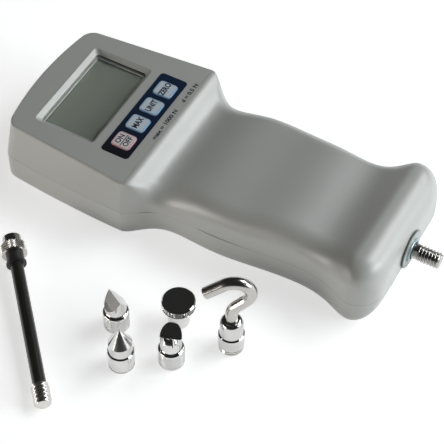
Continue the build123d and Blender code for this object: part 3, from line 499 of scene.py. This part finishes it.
# %% Plastics, rubber and print
black_plastic = finish("black_plastic", moulded, (0.02, 0.02, 0.02), 0.5, 3000.0, depth=0.3)
white_plastic = finish("white_plastic", moulded, (0.75, 0.74, 0.70), 0.5, 3000.0)
circuit_board = finish("circuit_board", moulded, (0.015, 0.16, 0.06), 0.35, 500.0, depth=0.1,
                       drift=0.3, coat=0.4)
seal_rubber = finish("seal_rubber", moulded, (0.02, 0.02, 0.02), 0.75, 3000.0, depth=0.4)
ribbon_film = finish("ribbon_film", moulded, (0.45, 0.46, 0.48), 0.45, 800.0)
battery_jacket = finish("battery_jacket", moulded, (0.05, 0.09, 0.20), 0.3, 900.0, drift=0.2,
                        coat=0.5)
liquid_crystal = finish("liquid_crystal", moulded, (0.185, 0.202, 0.172), 0.38, 5000.0,
                        depth=0.03, drift=0.08)
print_ink = finish("print_ink", moulded, (0.010, 0.014, 0.030), 0.45, 4000.0, depth=0.1,
                   drift=0.3)
print("finishes so far:", len(bpy.data.materials))

# %% [markdown]
# ## Window
#
# The window is clear acrylic, so its shader transmits light. A glass shader would keep the lamps
# off the display behind it, so a shadow ray meets plain clear air instead.

# %% Window
ACRYLIC_IOR = 1.49
window_clear = finish("window_clear", moulded, (0.95, 0.97, 0.95), 0.03, 300.0, depth=0.01)
tree = window_clear.node_tree
clear_shader = tree.nodes["Principled BSDF"]
clear_shader.inputs["Transmission Weight"].default_value = 1.0
clear_shader.inputs["IOR"].default_value = ACRYLIC_IOR
rays = tree.nodes.new("ShaderNodeLightPath")
clear_air = tree.nodes.new("ShaderNodeBsdfTransparent")
lit_through = tree.nodes.new("ShaderNodeMixShader")
tree.links.new(rays.outputs["Is Shadow Ray"], lit_through.inputs["Fac"])
tree.links.new(clear_shader.outputs["BSDF"], lit_through.inputs[1])
tree.links.new(clear_air.outputs["BSDF"], lit_through.inputs[2])
tree.links.new(lit_through.outputs["Shader"], tree.nodes["Material Output"].inputs["Surface"])
print("window:", window_clear.name)

# %% [markdown]
# ## Keypad film
#
# The keypad is a film printed from behind, dark blue, and nearly black towards its near end. The
# darkening only depends on the place along the row of keys, so one mask that climbs along Y and is
# then bent by a power is enough.

# %% Keypad film
FILM_BLUE, FILM_DARK = (0.008, 0.024, 0.060), (0.012, 0.011, 0.013)
DARK_END_POWER = 3.0


def middle(node):
    """The middle of a node's box and half its size, in metres."""
    low, high = (Vector(corner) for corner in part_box(node))
    return (low + high) / 2, (high - low) / 2


keypad_film = finish("keypad_film", moulded, FILM_BLUE, 0.33, 1800.0, depth=0.15, coat=0.3)
tree = keypad_film.node_tree
keypad_half = middle("keypad_overlay")[1]
along = math_node(tree, "MULTIPLY_ADD", place_axes(tree)["Y"], 0.5 / keypad_half.y, 0.5)
# The colour darkens towards the near end of the row of keys.
near_end_dark = math_node(tree, "POWER", math_node(tree, "SUBTRACT", 1.0, along), DARK_END_POWER)
tree.links.new(mix_colour(tree, near_end_dark, FILM_BLUE, FILM_DARK),
               tree.nodes["effect"].inputs["Colour"])
print("keypad", [round(2 * v / MM, 1) for v in keypad_half])

# %% [markdown]
# ## Key caps
#
# Each key is a pale, slightly clear cap with a brighter blue rim, or a pink one for the on and
# off key. The rim follows the cap's outline, so the material measures how far a point is from
# the middle of its own key, as a share of the key's half size, and takes the larger share.

# %% Key caps
KEY_LENGTH, KEY_WIDTH = 9.8 * MM, 9.2 * MM
RIM_SLOPE, RIM_SOFTNESS = 4.5, 0.1
BLUE_FACE, BLUE_RIM = (0.66, 0.75, 0.83), (0.16, 0.38, 0.66)
PINK_FACE, PINK_RIM = (0.84, 0.77, 0.79), (0.66, 0.30, 0.33)


def key_finish(node, face, rim):
    """A cap finish whose rim colour follows the outline of one key."""
    material = finish(node + "_cap", moulded, face, 0.30, 2500.0, depth=0.08, coat=0.4)
    tree = material.node_tree
    centre = middle(node)[0]
    axis = place_axes(tree)
    reach = []
    for label, start, size in (("X", centre.x, KEY_LENGTH), ("Y", centre.y, KEY_WIDTH)):
        offset = math_node(tree, "ABSOLUTE", math_node(tree, "SUBTRACT", axis[label], start))
        reach.append(math_node(tree, "DIVIDE", offset, size / 2))
    edge = math_node(tree, "MAXIMUM", reach[0], reach[1])
    climb = math_node(tree, "MULTIPLY_ADD", edge, RIM_SLOPE, 1.0 - RIM_SLOPE)
    on_rim = math_node(tree, "MINIMUM",
                       math_node(tree, "SMOOTH_MAX", climb, 0.0, RIM_SOFTNESS), 1.0)
    tree.links.new(mix_colour(tree, on_rim, face, rim), tree.nodes["effect"].inputs["Colour"])
    return material


key_caps = {name: key_finish(name, BLUE_FACE, BLUE_RIM)
            for name in ("key_max", "key_unit", "key_zero")}
key_caps["key_on_off"] = key_finish("key_on_off", PINK_FACE, PINK_RIM)
print("key caps:", len(key_caps))

# %% [markdown]
# ## Painted flange
#
# The flange behind the stud is painted a pale green-grey, and its rim carries a painted shade. The
# material measures how far a point is from the stud's axis, and is dark past a certain radius.

# %% Painted flange
FLANGE_GREEN, RIM_SHADE = (0.48, 0.52, 0.50), (0.23, 0.26, 0.23)
RIM_START = 8.95 * MM
stud_axis_height = middle("load_stud")[0].z
flange_grey = finish("flange_grey", turned_marks, FLANGE_GREEN, 0.40, 30.0, depth=0.10,
                     drift=0.1, metallic=0.2, turn=RINGS_ALONG_X)
tree = flange_grey.node_tree
axis = place_axes(tree)
up = math_node(tree, "SUBTRACT", axis["Z"], stud_axis_height)
squares = math_node(tree, "ADD", math_node(tree, "MULTIPLY", up, up),
                    math_node(tree, "MULTIPLY", axis["Y"], axis["Y"]))
# The darker colour past this radius is painted shade on the rim.
on_rim = math_node(tree, "GREATER_THAN", math_node(tree, "SQRT", squares), RIM_START)
tree.links.new(mix_colour(tree, on_rim, FLANGE_GREEN, RIM_SHADE),
               tree.nodes["effect"].inputs["Colour"])
print("stud's axis at", round(stud_axis_height / MM, 2), "mm")

# %% [markdown]
# ## Give every solid its finish
#
# The record names a material slot for each solid. The table below says which finish each slot
# gets, and a few solids that share a slot but differ in finish are named one by one.

# %% Dress the solids
slot_finishes = {
    "housing": housing, "clear_window": window_clear, "display_grey": liquid_crystal,
    "keypad_navy": keypad_film, "black_plastic": black_plastic, "white_plastic": white_plastic,
    "circuit_board": circuit_board, "screw_steel": plated_steel,
    "battery_jacket": battery_jacket, "spring_steel": plated_steel,
    "cell_aluminium": milled_aluminium, "bracket_aluminium": milled_aluminium,
    "dark_steel": dark_steel, "polished_steel": bright_steel, "black_rubber": seal_rubber,
    "ribbon_grey": ribbon_film, "blackened_steel": rod_black,
}
node_finishes = dict(key_caps, hook_wire=hook_steel, stud_flange=flange_grey,
                     rod_collar=dark_steel)
for part in frame["record"]["subparts"]:
    name = part["node"]
    mesh = nodes[name].data
    mesh.materials.clear()
    mesh.materials.append(node_finishes.get(name) or slot_finishes[part["material_slot"]])
print("dressed", len(nodes), "solids")

# %% [markdown]
# ## Lathe work
#
# Tips, couplings and threads are all turned on a lathe, and they are modelled the same way: a
# ring is drawn out and resized, point by point, along half of the piece's outline. Knurling and
# threads are then pressed or cut into that wall, so a second helper moves its points in or out
# by a rule that knows the turn and the height of each one.


# %% Lathe helpers
def only(piece):
    """Make a piece the only selected one, and the active one."""
    bpy.ops.object.select_all(action="DESELECT")
    piece.select_set(True)
    bpy.context.view_layer.objects.active = piece


def lathe(name, profile, steps):
    """A closed turned shape about the Z axis, from (radius, height) points in millimetres."""
    bpy.ops.object.select_all(action="DESELECT")
    radius, height = profile[0]
    bpy.ops.mesh.primitive_circle_add(vertices=steps, radius=radius * MM,
                                      location=(0, 0, height * MM))
    piece = bpy.context.object
    piece.name = name
    bpy.ops.object.transform_apply(location=True, rotation=True, scale=True)
    bpy.ops.object.mode_set(mode="EDIT")
    bpy.ops.mesh.select_all(action="SELECT")
    for next_radius, next_height in profile[1:]:
        bpy.ops.mesh.extrude_region_move(
            TRANSFORM_OT_translate={"value": (0, 0, (next_height - height) * MM)})
        grow = next_radius / radius
        bpy.ops.transform.resize(value=(grow, grow, 1),
                                 center_override=(0, 0, next_height * MM))
        radius, height = next_radius, next_height
    bpy.ops.mesh.select_all(action="SELECT")
    bpy.ops.mesh.fill_holes(sides=0)
    bpy.ops.mesh.select_all(action="SELECT")
    bpy.ops.mesh.normals_make_consistent(inside=False)
    bpy.ops.object.mode_set(mode="OBJECT")
    return piece


def cut_wall(piece, rule):
    """Move each point of a turned wall to the radius that the rule gives, in millimetres."""
    for point in piece.data.vertices:
        radius = hypot(point.co.x, point.co.y) / MM
        new_radius = rule(radius, atan2(point.co.y, point.co.x), point.co.z / MM)
        if radius > 0 and new_radius != radius:
            point.co.x *= new_radius / radius
            point.co.y *= new_radius / radius


def rows(radius, low, high, spacing):
    """Evenly spaced profile points up a straight wall, from low to high."""
    count = round(abs(high - low) / spacing)
    return [(radius, low + (high - low) * i / count) for i in range(count + 1)]


# %% [markdown]
# ## Finishing a piece
#
# Every new piece ends the same way. It goes to its place, and that place is then applied, so that
# its object stays at the origin. Its faces become triangles, which keeps each folded facet flat.
# It is smoothed except at sharp edges, it gets its material, it is hung on the body that
# carries it, and the solids that it stands for are hidden.

# %% Finish a piece
SMOOTH_ANGLE, THREAD_SMOOTH_ANGLE = 25.0, 40.0


def finish_piece(piece, material, body, slot, *replaced, place=Matrix(), sharp=SMOOTH_ANGLE):
    """Put a piece in place, dress it, hang it on its body and hide the solids it stands for."""
    only(piece)
    piece.matrix_world = place
    bpy.ops.object.transform_apply(location=True, rotation=True, scale=True)
    bpy.ops.object.mode_set(mode="EDIT")
    bpy.ops.mesh.select_all(action="SELECT")
    bpy.ops.mesh.quads_convert_to_tris()
    bpy.ops.object.mode_set(mode="OBJECT")
    bpy.ops.object.shade_smooth_by_angle(angle=radians(sharp))
    piece.data.materials.clear()
    piece.data.materials.append(material)
    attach(piece, body)
    if replaced:
        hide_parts(*replaced)
    print(piece.name, len(piece.data.vertices), "points")


def stand_at(mount):
    """The place of an upright piece whose socket is this mount."""
    x, y, _ = mounts[mount]["pos_m"]
    return Matrix.Translation((x, y, 0.0))


# %% [markdown]
# ## Knurling
#
# A knurl is a pattern of small pyramids that gives the fingers a hold. On a wall whose points
# form a fine grid, pushing in every other point, like the black squares of a chessboard, folds
# the wall into exactly such pyramids. The folded squares are then split into triangles, so that
# each side of a pyramid is flat and catches the light by itself.

# %% Knurling
KNURL_SPACING, KNURL_DEPTH = 0.52, 0.26
NEARLY = 0.01


def knurl_rule(radius, low, high, steps, depth=KNURL_DEPTH):
    """A rule that folds the wall between two heights into diamonds."""
    row_height = (high - low) / round((high - low) / KNURL_SPACING)

    def rule(point_radius, turn, height):
        on_wall = abs(point_radius - radius) <= NEARLY
        if not on_wall or not low - NEARLY < height < high + NEARLY:
            return point_radius
        column = round((turn % (2 * pi)) / (2 * pi) * steps)
        row = round((height - low) / row_height)
        return radius - depth if (column + row) % 2 else radius
    return rule


# %% [markdown]
# ## Base of a screw-on tip
#
# Three of the tips share one base: a knurled barrel with a threaded hole from below and a narrow
# groove at its top. Its half outline is written once, from the bottom of the hole, down and out
# round the foot and up the wall, and each tip adds its own upper end to it.

# %% Base of a screw-on tip
BASE_RADIUS, BASE_HEIGHT, BASE_CHAMFER = 5.8, 10.6, 0.5
GROOVE_RADIUS, BAND_FOOT = 5.2, 11.1
SOCKET_RADIUS, SOCKET_DEPTH, SOCKET_CHAMFER = 3.4, 8.5, 0.6
BASE_KNURL, KNURL_MARGIN, BASE_STEPS = (1.2, 9.2), 0.2, 68
socket = [(SOCKET_RADIUS, SOCKET_DEPTH), (SOCKET_RADIUS, SOCKET_CHAMFER),
          (SOCKET_RADIUS + SOCKET_CHAMFER, 0.0)]
barrel_top = [
    (BASE_RADIUS, BASE_HEIGHT - BASE_CHAMFER), (BASE_RADIUS - BASE_CHAMFER, BASE_HEIGHT),
    (GROOVE_RADIUS, BASE_HEIGHT), (GROOVE_RADIUS, BAND_FOOT)]
base_profile = socket + [
    (BASE_RADIUS - BASE_CHAMFER, 0.0), (BASE_RADIUS, BASE_CHAMFER),
    (BASE_RADIUS, BASE_KNURL[0] - KNURL_MARGIN),
    *rows(BASE_RADIUS, *BASE_KNURL, KNURL_SPACING),
    (BASE_RADIUS, BASE_KNURL[1] + KNURL_MARGIN)] + barrel_top
base_knurl = knurl_rule(BASE_RADIUS, *BASE_KNURL, BASE_STEPS)
print("base outline:", len(base_profile), "points")

# %% [markdown]
# ## Cone tip
#
# The cone is turned in one piece with its knurled base: a plain band, then a point.

# %% Cone tip
CONE_BAND_RADIUS, CONE_BAND_TOP = 5.25, 16.1
CONE_POINT_RADIUS, CONE_TOP = 0.15, 25.0
cone = lathe("cone_tip_turned", base_profile + [
    (CONE_BAND_RADIUS, BAND_FOOT), (CONE_BAND_RADIUS, CONE_BAND_TOP),
    (CONE_POINT_RADIUS, CONE_TOP)], BASE_STEPS)
cut_wall(cone, base_knurl)
finish_piece(cone, bright_steel, "cone", "polished_steel", "cone_tip",
             place=stand_at("cone_tip_socket"))

# %% [markdown]
# ## Chisel and notch tips
#
# Their upper ends are milled, not turned, and the solids already have those faces. So the upper
# end is a copy of the solid, cut off level above the groove, and it is joined to a new turned
# base that has the knurl.

# %% Milled tips
MERGE_DISTANCE = 0.001 * MM
FLAT_ANGLE = radians(0.5)


def milled_tip(name, node, mount, body):
    """A knurled base with the upper end of a solid on it, as one piece."""
    base = lathe(name, base_profile, BASE_STEPS)
    cut_wall(base, base_knurl)
    only(base)
    base.matrix_world = stand_at(mount)
    bpy.ops.object.transform_apply(location=True, rotation=True, scale=True)
    head = bpy.data.objects.new(name + "_head", nodes[node].data.copy())
    scene.collection.objects.link(head)
    only(head)
    bpy.ops.object.mode_set(mode="EDIT")
    bpy.ops.mesh.select_all(action="SELECT")
    bpy.ops.mesh.remove_doubles(threshold=MERGE_DISTANCE)
    bpy.ops.mesh.bisect(plane_co=(0, 0, BAND_FOOT * MM), plane_no=(0, 0, 1), use_fill=True,
                        clear_inner=True)
    bpy.ops.mesh.select_all(action="SELECT")
    bpy.ops.mesh.dissolve_limited(angle_limit=FLAT_ANGLE)
    bpy.ops.object.mode_set(mode="OBJECT")
    head.data.materials.clear()
    base.data.materials.clear()
    base.select_set(True)
    bpy.context.view_layer.objects.active = base
    bpy.ops.object.join()
    finish_piece(base, bright_steel, body, "polished_steel", node)
    return base


chisel = milled_tip("chisel_tip_knurled", "chisel_tip", "chisel_tip_socket", "chisel")
milled_tip("notch_tip_knurled", "notch_tip", "notch_tip_socket", "notch")

# %% [markdown]
# ## Milled flank
#
# The chisel's near flank still has the marks of the milling cutter, so its faces get a coarser
# steel than the rest, whose much darker colour is painted shade. They are picked by the way they
# face: towards the near side, and neither level nor upright.

# %% Milled flank
FLANK_FOOT = 12 * MM
NEAR_SIDE, FLANK_SLANT = -0.3, (0.3, 0.9)
chisel.data.materials.append(milled_shaded_steel)
rough_faces = 0
for face in chisel.data.polygons:
    slanted = FLANK_SLANT[0] < face.normal.z < FLANK_SLANT[1]
    if slanted and face.normal.y < NEAR_SIDE and face.center.z > FLANK_FOOT:
        face.material_index = 1
        rough_faces += 1
print("milled faces:", rough_faces)

# %% [markdown]
# ## Flat disc
#
# The disc has a knurl on its rim, for tightening it by hand, and another, shallower, on its stem.
# Its face is flat and polished. Both walls are rows of points in one outline.

# %% Flat disc
DISC_RADIUS, DISC_FOOT, DISC_TOP, STEM_RADIUS = 7.5, 11.1, 15.5, 4.85
RIM_KNURL, RIM_KNURL_DEPTH = (11.8, 14.8), 0.34
STEM_KNURL, STEM_KNURL_DEPTH = (1.0, 10.24), 0.12
DISC_STEPS = 76
disc = lathe("flat_disc_turned", socket + [
    (STEM_RADIUS - BASE_CHAMFER, 0.0), (STEM_RADIUS, BASE_CHAMFER),
    *rows(STEM_RADIUS, *STEM_KNURL, KNURL_SPACING),
    (STEM_RADIUS, DISC_FOOT), (DISC_RADIUS - BASE_CHAMFER, DISC_FOOT),
    (DISC_RADIUS, DISC_FOOT + BASE_CHAMFER),
    *rows(DISC_RADIUS, *RIM_KNURL, KNURL_SPACING),
    (DISC_RADIUS, DISC_TOP - BASE_CHAMFER), (DISC_RADIUS - BASE_CHAMFER, DISC_TOP)], DISC_STEPS)
cut_wall(disc, knurl_rule(DISC_RADIUS, *RIM_KNURL, DISC_STEPS, depth=RIM_KNURL_DEPTH))
cut_wall(disc, knurl_rule(STEM_RADIUS, *STEM_KNURL, DISC_STEPS, depth=STEM_KNURL_DEPTH))
finish_piece(disc, bright_steel, "disc", "polished_steel", "flat_disc",
             place=stand_at("flat_disc_socket"))

# %% [markdown]
# ## Hook base
#
# The hook's base has two fine rings near its foot, a shallow knurl, and a rounded shoulder that
# meets the wire. The shoulder is a quarter of an ellipse, and the hole for the wire goes down
# inside it.

# %% Hook base
HOOK_BAND_RADIUS, HOOK_BAND_TOP = 5.25, 16.3
HOOK_NECK_RADIUS, HOOK_NECK_TOP = 3.2, 19.7
WIRE_HOLE_RADIUS, WIRE_HOLE_FOOT = 2.75, 10.5
HOOK_KNURL, HOOK_KNURL_DEPTH = (3.6, 9.32), 0.14
RING_HEIGHTS, RING_HALF, RING_DEPTH = (1.6, 2.9), 0.22, 0.15
SHOULDER_POINTS = 8
shoulder = []
for i in range(SHOULDER_POINTS + 1):
    bend = radians(90) * i / SHOULDER_POINTS
    shoulder.append((HOOK_NECK_RADIUS + (HOOK_BAND_RADIUS - HOOK_NECK_RADIUS) * cos(bend),
                     HOOK_BAND_TOP + (HOOK_NECK_TOP - HOOK_BAND_TOP) * sin(bend)))
foot_rings = []
for ring_height in RING_HEIGHTS:
    foot_rings += [(BASE_RADIUS, ring_height - RING_HALF),
                   (BASE_RADIUS - RING_DEPTH, ring_height),
                   (BASE_RADIUS, ring_height + RING_HALF)]
hook_base = lathe("hook_base_turned", socket + [
    (BASE_RADIUS - BASE_CHAMFER, 0.0), (BASE_RADIUS, BASE_CHAMFER), *foot_rings,
    *rows(BASE_RADIUS, *HOOK_KNURL, KNURL_SPACING), *barrel_top, (HOOK_BAND_RADIUS, BAND_FOOT),
    *shoulder, (WIRE_HOLE_RADIUS, HOOK_NECK_TOP), (WIRE_HOLE_RADIUS, WIRE_HOLE_FOOT)],
    BASE_STEPS)
cut_wall(hook_base, knurl_rule(BASE_RADIUS, *HOOK_KNURL, BASE_STEPS, depth=HOOK_KNURL_DEPTH))
finish_piece(hook_base, base_steel, "hook", "polished_steel", "hook_base",
             place=stand_at("hook_socket"))

# %% [markdown]
# ## Threads
#
# The stud and the rod's end have a thread, 8 mm across, whose ridges climb 1.5 mm or 2 mm a
# turn. On a fine grid of points the ridge is a rule again: how deep a point lies depends on its
# height, less the part of a turn that it has gone round.

# %% Thread rule
THREAD_RADIUS, THREAD_DEPTH, THREAD_CHAMFER = 4.0, 0.75, 0.8
STUD_PITCH, ROD_PITCH = 1.5, 2.0
THREAD_STEPS, THREAD_SPACING = 48, 0.17
CREST_SHARE, FLANK_SHARE = 0.14, 0.72


def thread_rule(start, tip, pitch):
    """A rule that cuts a helical thread between two heights, with a chamfer at the tip."""
    def rule(point_radius, turn, height):
        if point_radius < THREAD_RADIUS - NEARLY or height < start - NEARLY:
            return point_radius
        phase = (height / pitch - turn / (2 * pi)) % 1.0
        off_crest = abs(phase - 0.5) * 2
        cut = THREAD_DEPTH * min(max((off_crest - CREST_SHARE) / FLANK_SHARE, 0.0), 1.0)
        return min(THREAD_RADIUS - cut, THREAD_RADIUS - THREAD_CHAMFER + abs(tip - height))
    return rule


# %% [markdown]
# ## Load stud
#
# The stud comes out of the housing as a plain shank, narrows to a relief where the threading tool
# ran out, and ends in 10 mm of thread. It is turned upright about Z, as every lathe piece is,
# and then laid along X at the height of the load cell.

# %% Load stud
SHANK_RADIUS, RELIEF_RADIUS, RELIEF_START = THREAD_RADIUS - 0.02, 3.6, 98.1
THREAD_LENGTH, RUN_OUT = 10.0, 0.3
stud_start, stud_tip = (corner[0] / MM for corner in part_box("load_stud"))
thread_start = stud_tip - THREAD_LENGTH
stud = lathe("load_stud_threaded", [
    (SHANK_RADIUS, stud_start), (SHANK_RADIUS, RELIEF_START),
    (RELIEF_RADIUS, RELIEF_START), (RELIEF_RADIUS, thread_start - RUN_OUT),
    *rows(THREAD_RADIUS, thread_start, stud_tip, THREAD_SPACING)], THREAD_STEPS)
cut_wall(stud, thread_rule(thread_start, stud_tip, STUD_PITCH))
along_x = Matrix.Translation((0, 0, stud_axis_height)) @ Matrix.Rotation(radians(90), 4, "Y")
finish_piece(stud, stud_steel, "stud", "polished_steel", "load_stud", place=along_x,
             sharp=THREAD_SMOOTH_ANGLE)

# %% [markdown]
# ## Hub of the flange
#
# A small blued hub keeps the flange on the housing. It is a ring, so its outline goes round all
# four sides and comes back to its start, where the points are merged.

# %% Hub of the flange
HUB_RADIUS, HUB_HOLE, HUB_THICKNESS, HUB_CHAMFER = 5.6, 4.25, 0.9, 0.3
HUB_SEAT, HUB_STEPS = 0.2, 64
flange_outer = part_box("stud_flange")[1][0] / MM
hub_outer = flange_outer + HUB_THICKNESS
hub = lathe("stud_hub", [
    (HUB_HOLE, flange_outer - HUB_SEAT), (HUB_RADIUS, flange_outer - HUB_SEAT),
    (HUB_RADIUS, hub_outer - HUB_CHAMFER), (HUB_RADIUS - HUB_CHAMFER, hub_outer),
    (HUB_HOLE, hub_outer), (HUB_HOLE, flange_outer)], HUB_STEPS)
only(hub)
bpy.ops.object.mode_set(mode="EDIT")
bpy.ops.mesh.select_all(action="SELECT")
bpy.ops.mesh.remove_doubles(threshold=MERGE_DISTANCE)
bpy.ops.object.mode_set(mode="OBJECT")
hub_blue = finish("hub_blue", turned_marks, (0.40, 0.50, 0.53), 0.35, 40.0, metallic=0.5,
                  turn=RINGS_ALONG_X)
finish_piece(hub, hub_blue, "gauge", "polished_steel", place=along_x)

# %% [markdown]
# ## Where the extension rod lies
#
# The rod lies on its thread and on its coupling, so it is tilted by about a degree. The record
# gives the middle and the direction of both of its threads, and the rod's own frame follows
# from them: its Z axis runs up the rod from the thread's tip.

# %% Rod frame
rod_way = Vector(mounts["rod_socket"]["axis"]).normalized()
rod_pin = mounts["rod_thread"]
half_pin = rod_pin["dims"]["length_mm"] / 2 + THREAD_CHAMFER
rod_tip = Vector(rod_pin["pos_m"]) - rod_way * half_pin * MM
rod_frame = Matrix.Translation(rod_tip) @ rod_way.to_track_quat("Z", "Y").to_matrix().to_4x4()
print("rod tip", [round(v / MM, 1) for v in rod_tip])

# %% [markdown]
# ## Rod shaft and thread
#
# The shaft is blackened steel, and its thread is bare, so the two are separate pieces with a
# finish each, and both stand for the one solid of the rod. The thread starts at the rod's
# very tip, where its chamfer is.

# %% Rod shaft and thread
ROD_TIP, ROD_THREAD, ROD_RADIUS, ROD_END = 0.0, 9.8, 3.0, 80.5
ROD_CHAMFER, ROD_OVERLAP, THREAD_STEP, ROD_STEPS = 0.3, 0.4, 0.1, 64
shaft = lathe("rod_shaft", [
    (ROD_RADIUS - ROD_CHAMFER, ROD_THREAD - ROD_OVERLAP), (ROD_RADIUS, ROD_THREAD),
    (ROD_RADIUS, ROD_END / 2), (ROD_RADIUS, ROD_END)], ROD_STEPS)
finish_piece(shaft, rod_black, "rod", "blackened_steel", "extension_rod", place=rod_frame)
rod_thread = lathe("rod_thread", [
    *rows(THREAD_RADIUS, ROD_TIP, ROD_THREAD - RUN_OUT, THREAD_SPACING),
    (ROD_RADIUS + THREAD_STEP, ROD_THREAD)], THREAD_STEPS)
cut_wall(rod_thread, thread_rule(ROD_TIP, ROD_TIP, ROD_PITCH))
finish_piece(rod_thread, rod_steel, "rod", "polished_steel", "extension_rod",
             place=rod_frame, sharp=THREAD_SMOOTH_ANGLE)

# %% [markdown]
# ## Rod coupling
#
# At its other end the rod has a knurled coupling with a plain nose, which screws on the gauge's
# stud. The outline goes up the knurled wall, over the nose and down into the threaded hole.

# %% Rod coupling
COUPLING_END, NOSE_RADIUS, NOSE_END, NOSE_CHAMFER = 86.1, 4.3, 90.6, 0.3
COUPLING_KNURL, COUPLING_KNURL_DEPTH, COUPLING_STEPS = (81.2, 85.4), 0.34, 64
coupling = lathe("rod_coupling_knurled", [
    (BASE_RADIUS - BASE_CHAMFER, ROD_END), (BASE_RADIUS, ROD_END + BASE_CHAMFER),
    *rows(BASE_RADIUS, *COUPLING_KNURL, KNURL_SPACING),
    (BASE_RADIUS, COUPLING_END - BASE_CHAMFER), (BASE_RADIUS - BASE_CHAMFER, COUPLING_END),
    (NOSE_RADIUS, COUPLING_END), (NOSE_RADIUS, NOSE_END - NOSE_CHAMFER),
    (NOSE_RADIUS - NOSE_CHAMFER, NOSE_END), (SOCKET_RADIUS, NOSE_END),
    (SOCKET_RADIUS, NOSE_END - SOCKET_DEPTH)], COUPLING_STEPS)
cut_wall(coupling, knurl_rule(BASE_RADIUS, *COUPLING_KNURL, COUPLING_STEPS,
                              depth=COUPLING_KNURL_DEPTH))
finish_piece(coupling, hook_steel, "rod", "polished_steel", "rod_coupling", place=rod_frame)

# %% [markdown]
# ## Words on the keys
#
# The keys and the panel carry plain words and the measuring range. Words are text objects,
# made a mesh with a thickness of a few hundredths of a millimetre, as ink is. They read from
# the near side to the far side, so each is turned by a quarter. The letters are made a little
# bolder and narrower than the built-in font's, as on a real key.

# %% Words on the keys
INK_RISE, LETTER_STEPS = 0.02 * MM, 4
KEY_WORD_SIZE, KEY_WORD_BOLD, KEY_WORD_SPREAD = 4.0, 0.14, 0.80
KEY_WORDS = {"key_max": ("MAX", "max_key"), "key_unit": ("UNIT", "unit_key"),
             "key_zero": ("ZERO", "zero_key")}


def print_words(name, words, place, size, body, bold, spread=1.0):
    """Words printed on a level face, reading along +Y, as a thin mesh, spread out or squeezed."""
    bpy.ops.object.select_all(action="DESELECT")
    bpy.ops.object.text_add()
    text = bpy.context.object
    text.name = name
    text.data.body = words
    text.data.size = size * MM
    text.data.align_x = "CENTER"
    text.data.align_y = "CENTER"
    text.data.extrude = INK_RISE
    text.data.offset = bold * MM
    text.data.resolution_u = LETTER_STEPS
    bpy.ops.object.convert(target="MESH")
    piece = bpy.context.object
    piece.name = name
    quarter = Matrix.Rotation(radians(90), 4, "Z") @ Matrix.Diagonal((spread, 1, 1, 1))
    finish_piece(piece, print_ink, body, "keypad_navy", place=Matrix.Translation(place) @ quarter)


def top_of(node):
    """The middle of the top of a node's box."""
    centre, half = middle(node)
    return Vector((centre.x, centre.y, centre.z + half.z))


for node, (word, body) in KEY_WORDS.items():
    print_words(node + "_word", word, top_of(node), KEY_WORD_SIZE, body, KEY_WORD_BOLD,
                spread=KEY_WORD_SPREAD)

# %% [markdown]
# ## On and off key
#
# Its two words stand one above the other, with a fine line between them. The line is a plane,
# stretched to its size and then extruded by the thickness of the ink. The frame of the
# display starts from such a plane too, so both steps are helpers.

# %% On and off key
ON_SIZE, ON_BOLD, ON_OFFSET = 3.6, 0.08, 2.1 * MM
LINE_LENGTH, LINE_WIDTH = 7.2, 0.4


def flat_plate(name, length, width):
    """A level rectangle about the origin, with its sides along X and Y in millimetres."""
    bpy.ops.object.select_all(action="DESELECT")
    bpy.ops.mesh.primitive_plane_add(size=1.0)
    piece = bpy.context.object
    piece.name = name
    piece.scale = (length * MM, width * MM, 1.0)
    bpy.ops.object.transform_apply(location=True, rotation=True, scale=True)
    return piece


def thicken(rise):
    """Extrude the flat piece in edit mode upwards, and leave edit mode."""
    bpy.ops.mesh.select_all(action="SELECT")
    bpy.ops.mesh.extrude_region_move(TRANSFORM_OT_translate={"value": (0, 0, rise)})
    bpy.ops.mesh.select_all(action="SELECT")
    bpy.ops.mesh.normals_make_consistent(inside=False)
    bpy.ops.object.mode_set(mode="OBJECT")


key_top = top_of("key_on_off")
for name, word, offset in (("on_word", "ON", -ON_OFFSET), ("off_word", "OFF", ON_OFFSET)):
    print_words(name, word, key_top + Vector((offset, 0, 0)), ON_SIZE, "on_off_key", ON_BOLD)
bar = flat_plate("on_off_line", LINE_WIDTH, LINE_LENGTH)
bpy.ops.object.mode_set(mode="EDIT")
thicken(INK_RISE)
finish_piece(bar, print_ink, "on_off_key", "keypad_navy", place=Matrix.Translation(key_top))

# %% [markdown]
# ## Measuring range on the panel
#
# Between the keypad and the ramp stand two short lines in wide letters: the largest force that
# the gauge can measure, and its smallest step. They are printed as the words on the keys are.

# %% Measuring range on the panel
RANGE_X, RANGE_SIZE, RANGE_BOLD = -28.2, 2.8, 0.09
KEY_RISE = 0.6 * MM
RANGE_LINES = {"range_words": ("max = 1000 N", -0.4, 1.27),
               "step_words": ("d = 0.5 N", 22.4, 1.22)}
panel_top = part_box("key_max")[1][2] - KEY_RISE
for name, (words, y, spread) in RANGE_LINES.items():
    print_words(name, words, Vector((RANGE_X * MM, y * MM, panel_top)), RANGE_SIZE, "gauge",
                RANGE_BOLD, spread=spread)

# %% [markdown]
# ## Frame of the display
#
# The polarising film on a liquid crystal is a little smaller than its glass, and its edge shows
# as a fine line inside the window. It is a flat frame: a plane, inset, with its middle taken
# out and the rest given a small thickness.

# %% Frame of the display
FILM_LENGTH, FILM_WIDTH, FILM_EDGE = 25.6, 47.4, 0.35
FILM_RISE = 0.03 * MM
film_edge = flat_plate("display_film_edge", FILM_LENGTH, FILM_WIDTH)
bpy.ops.object.mode_set(mode="EDIT")
bpy.ops.mesh.select_all(action="SELECT")
bpy.ops.mesh.inset(thickness=FILM_EDGE * MM)
bpy.ops.mesh.delete(type="FACE")
thicken(FILM_RISE)
film_line = finish("film_line", moulded, (0.035, 0.040, 0.034), 0.4, 3000.0)
window_centre = middle("display_window")[0]
film_place = Vector((window_centre.x, window_centre.y, top_of("lcd_module").z))
finish_piece(film_edge, film_line, "gauge", "display_grey", place=Matrix.Translation(film_place))
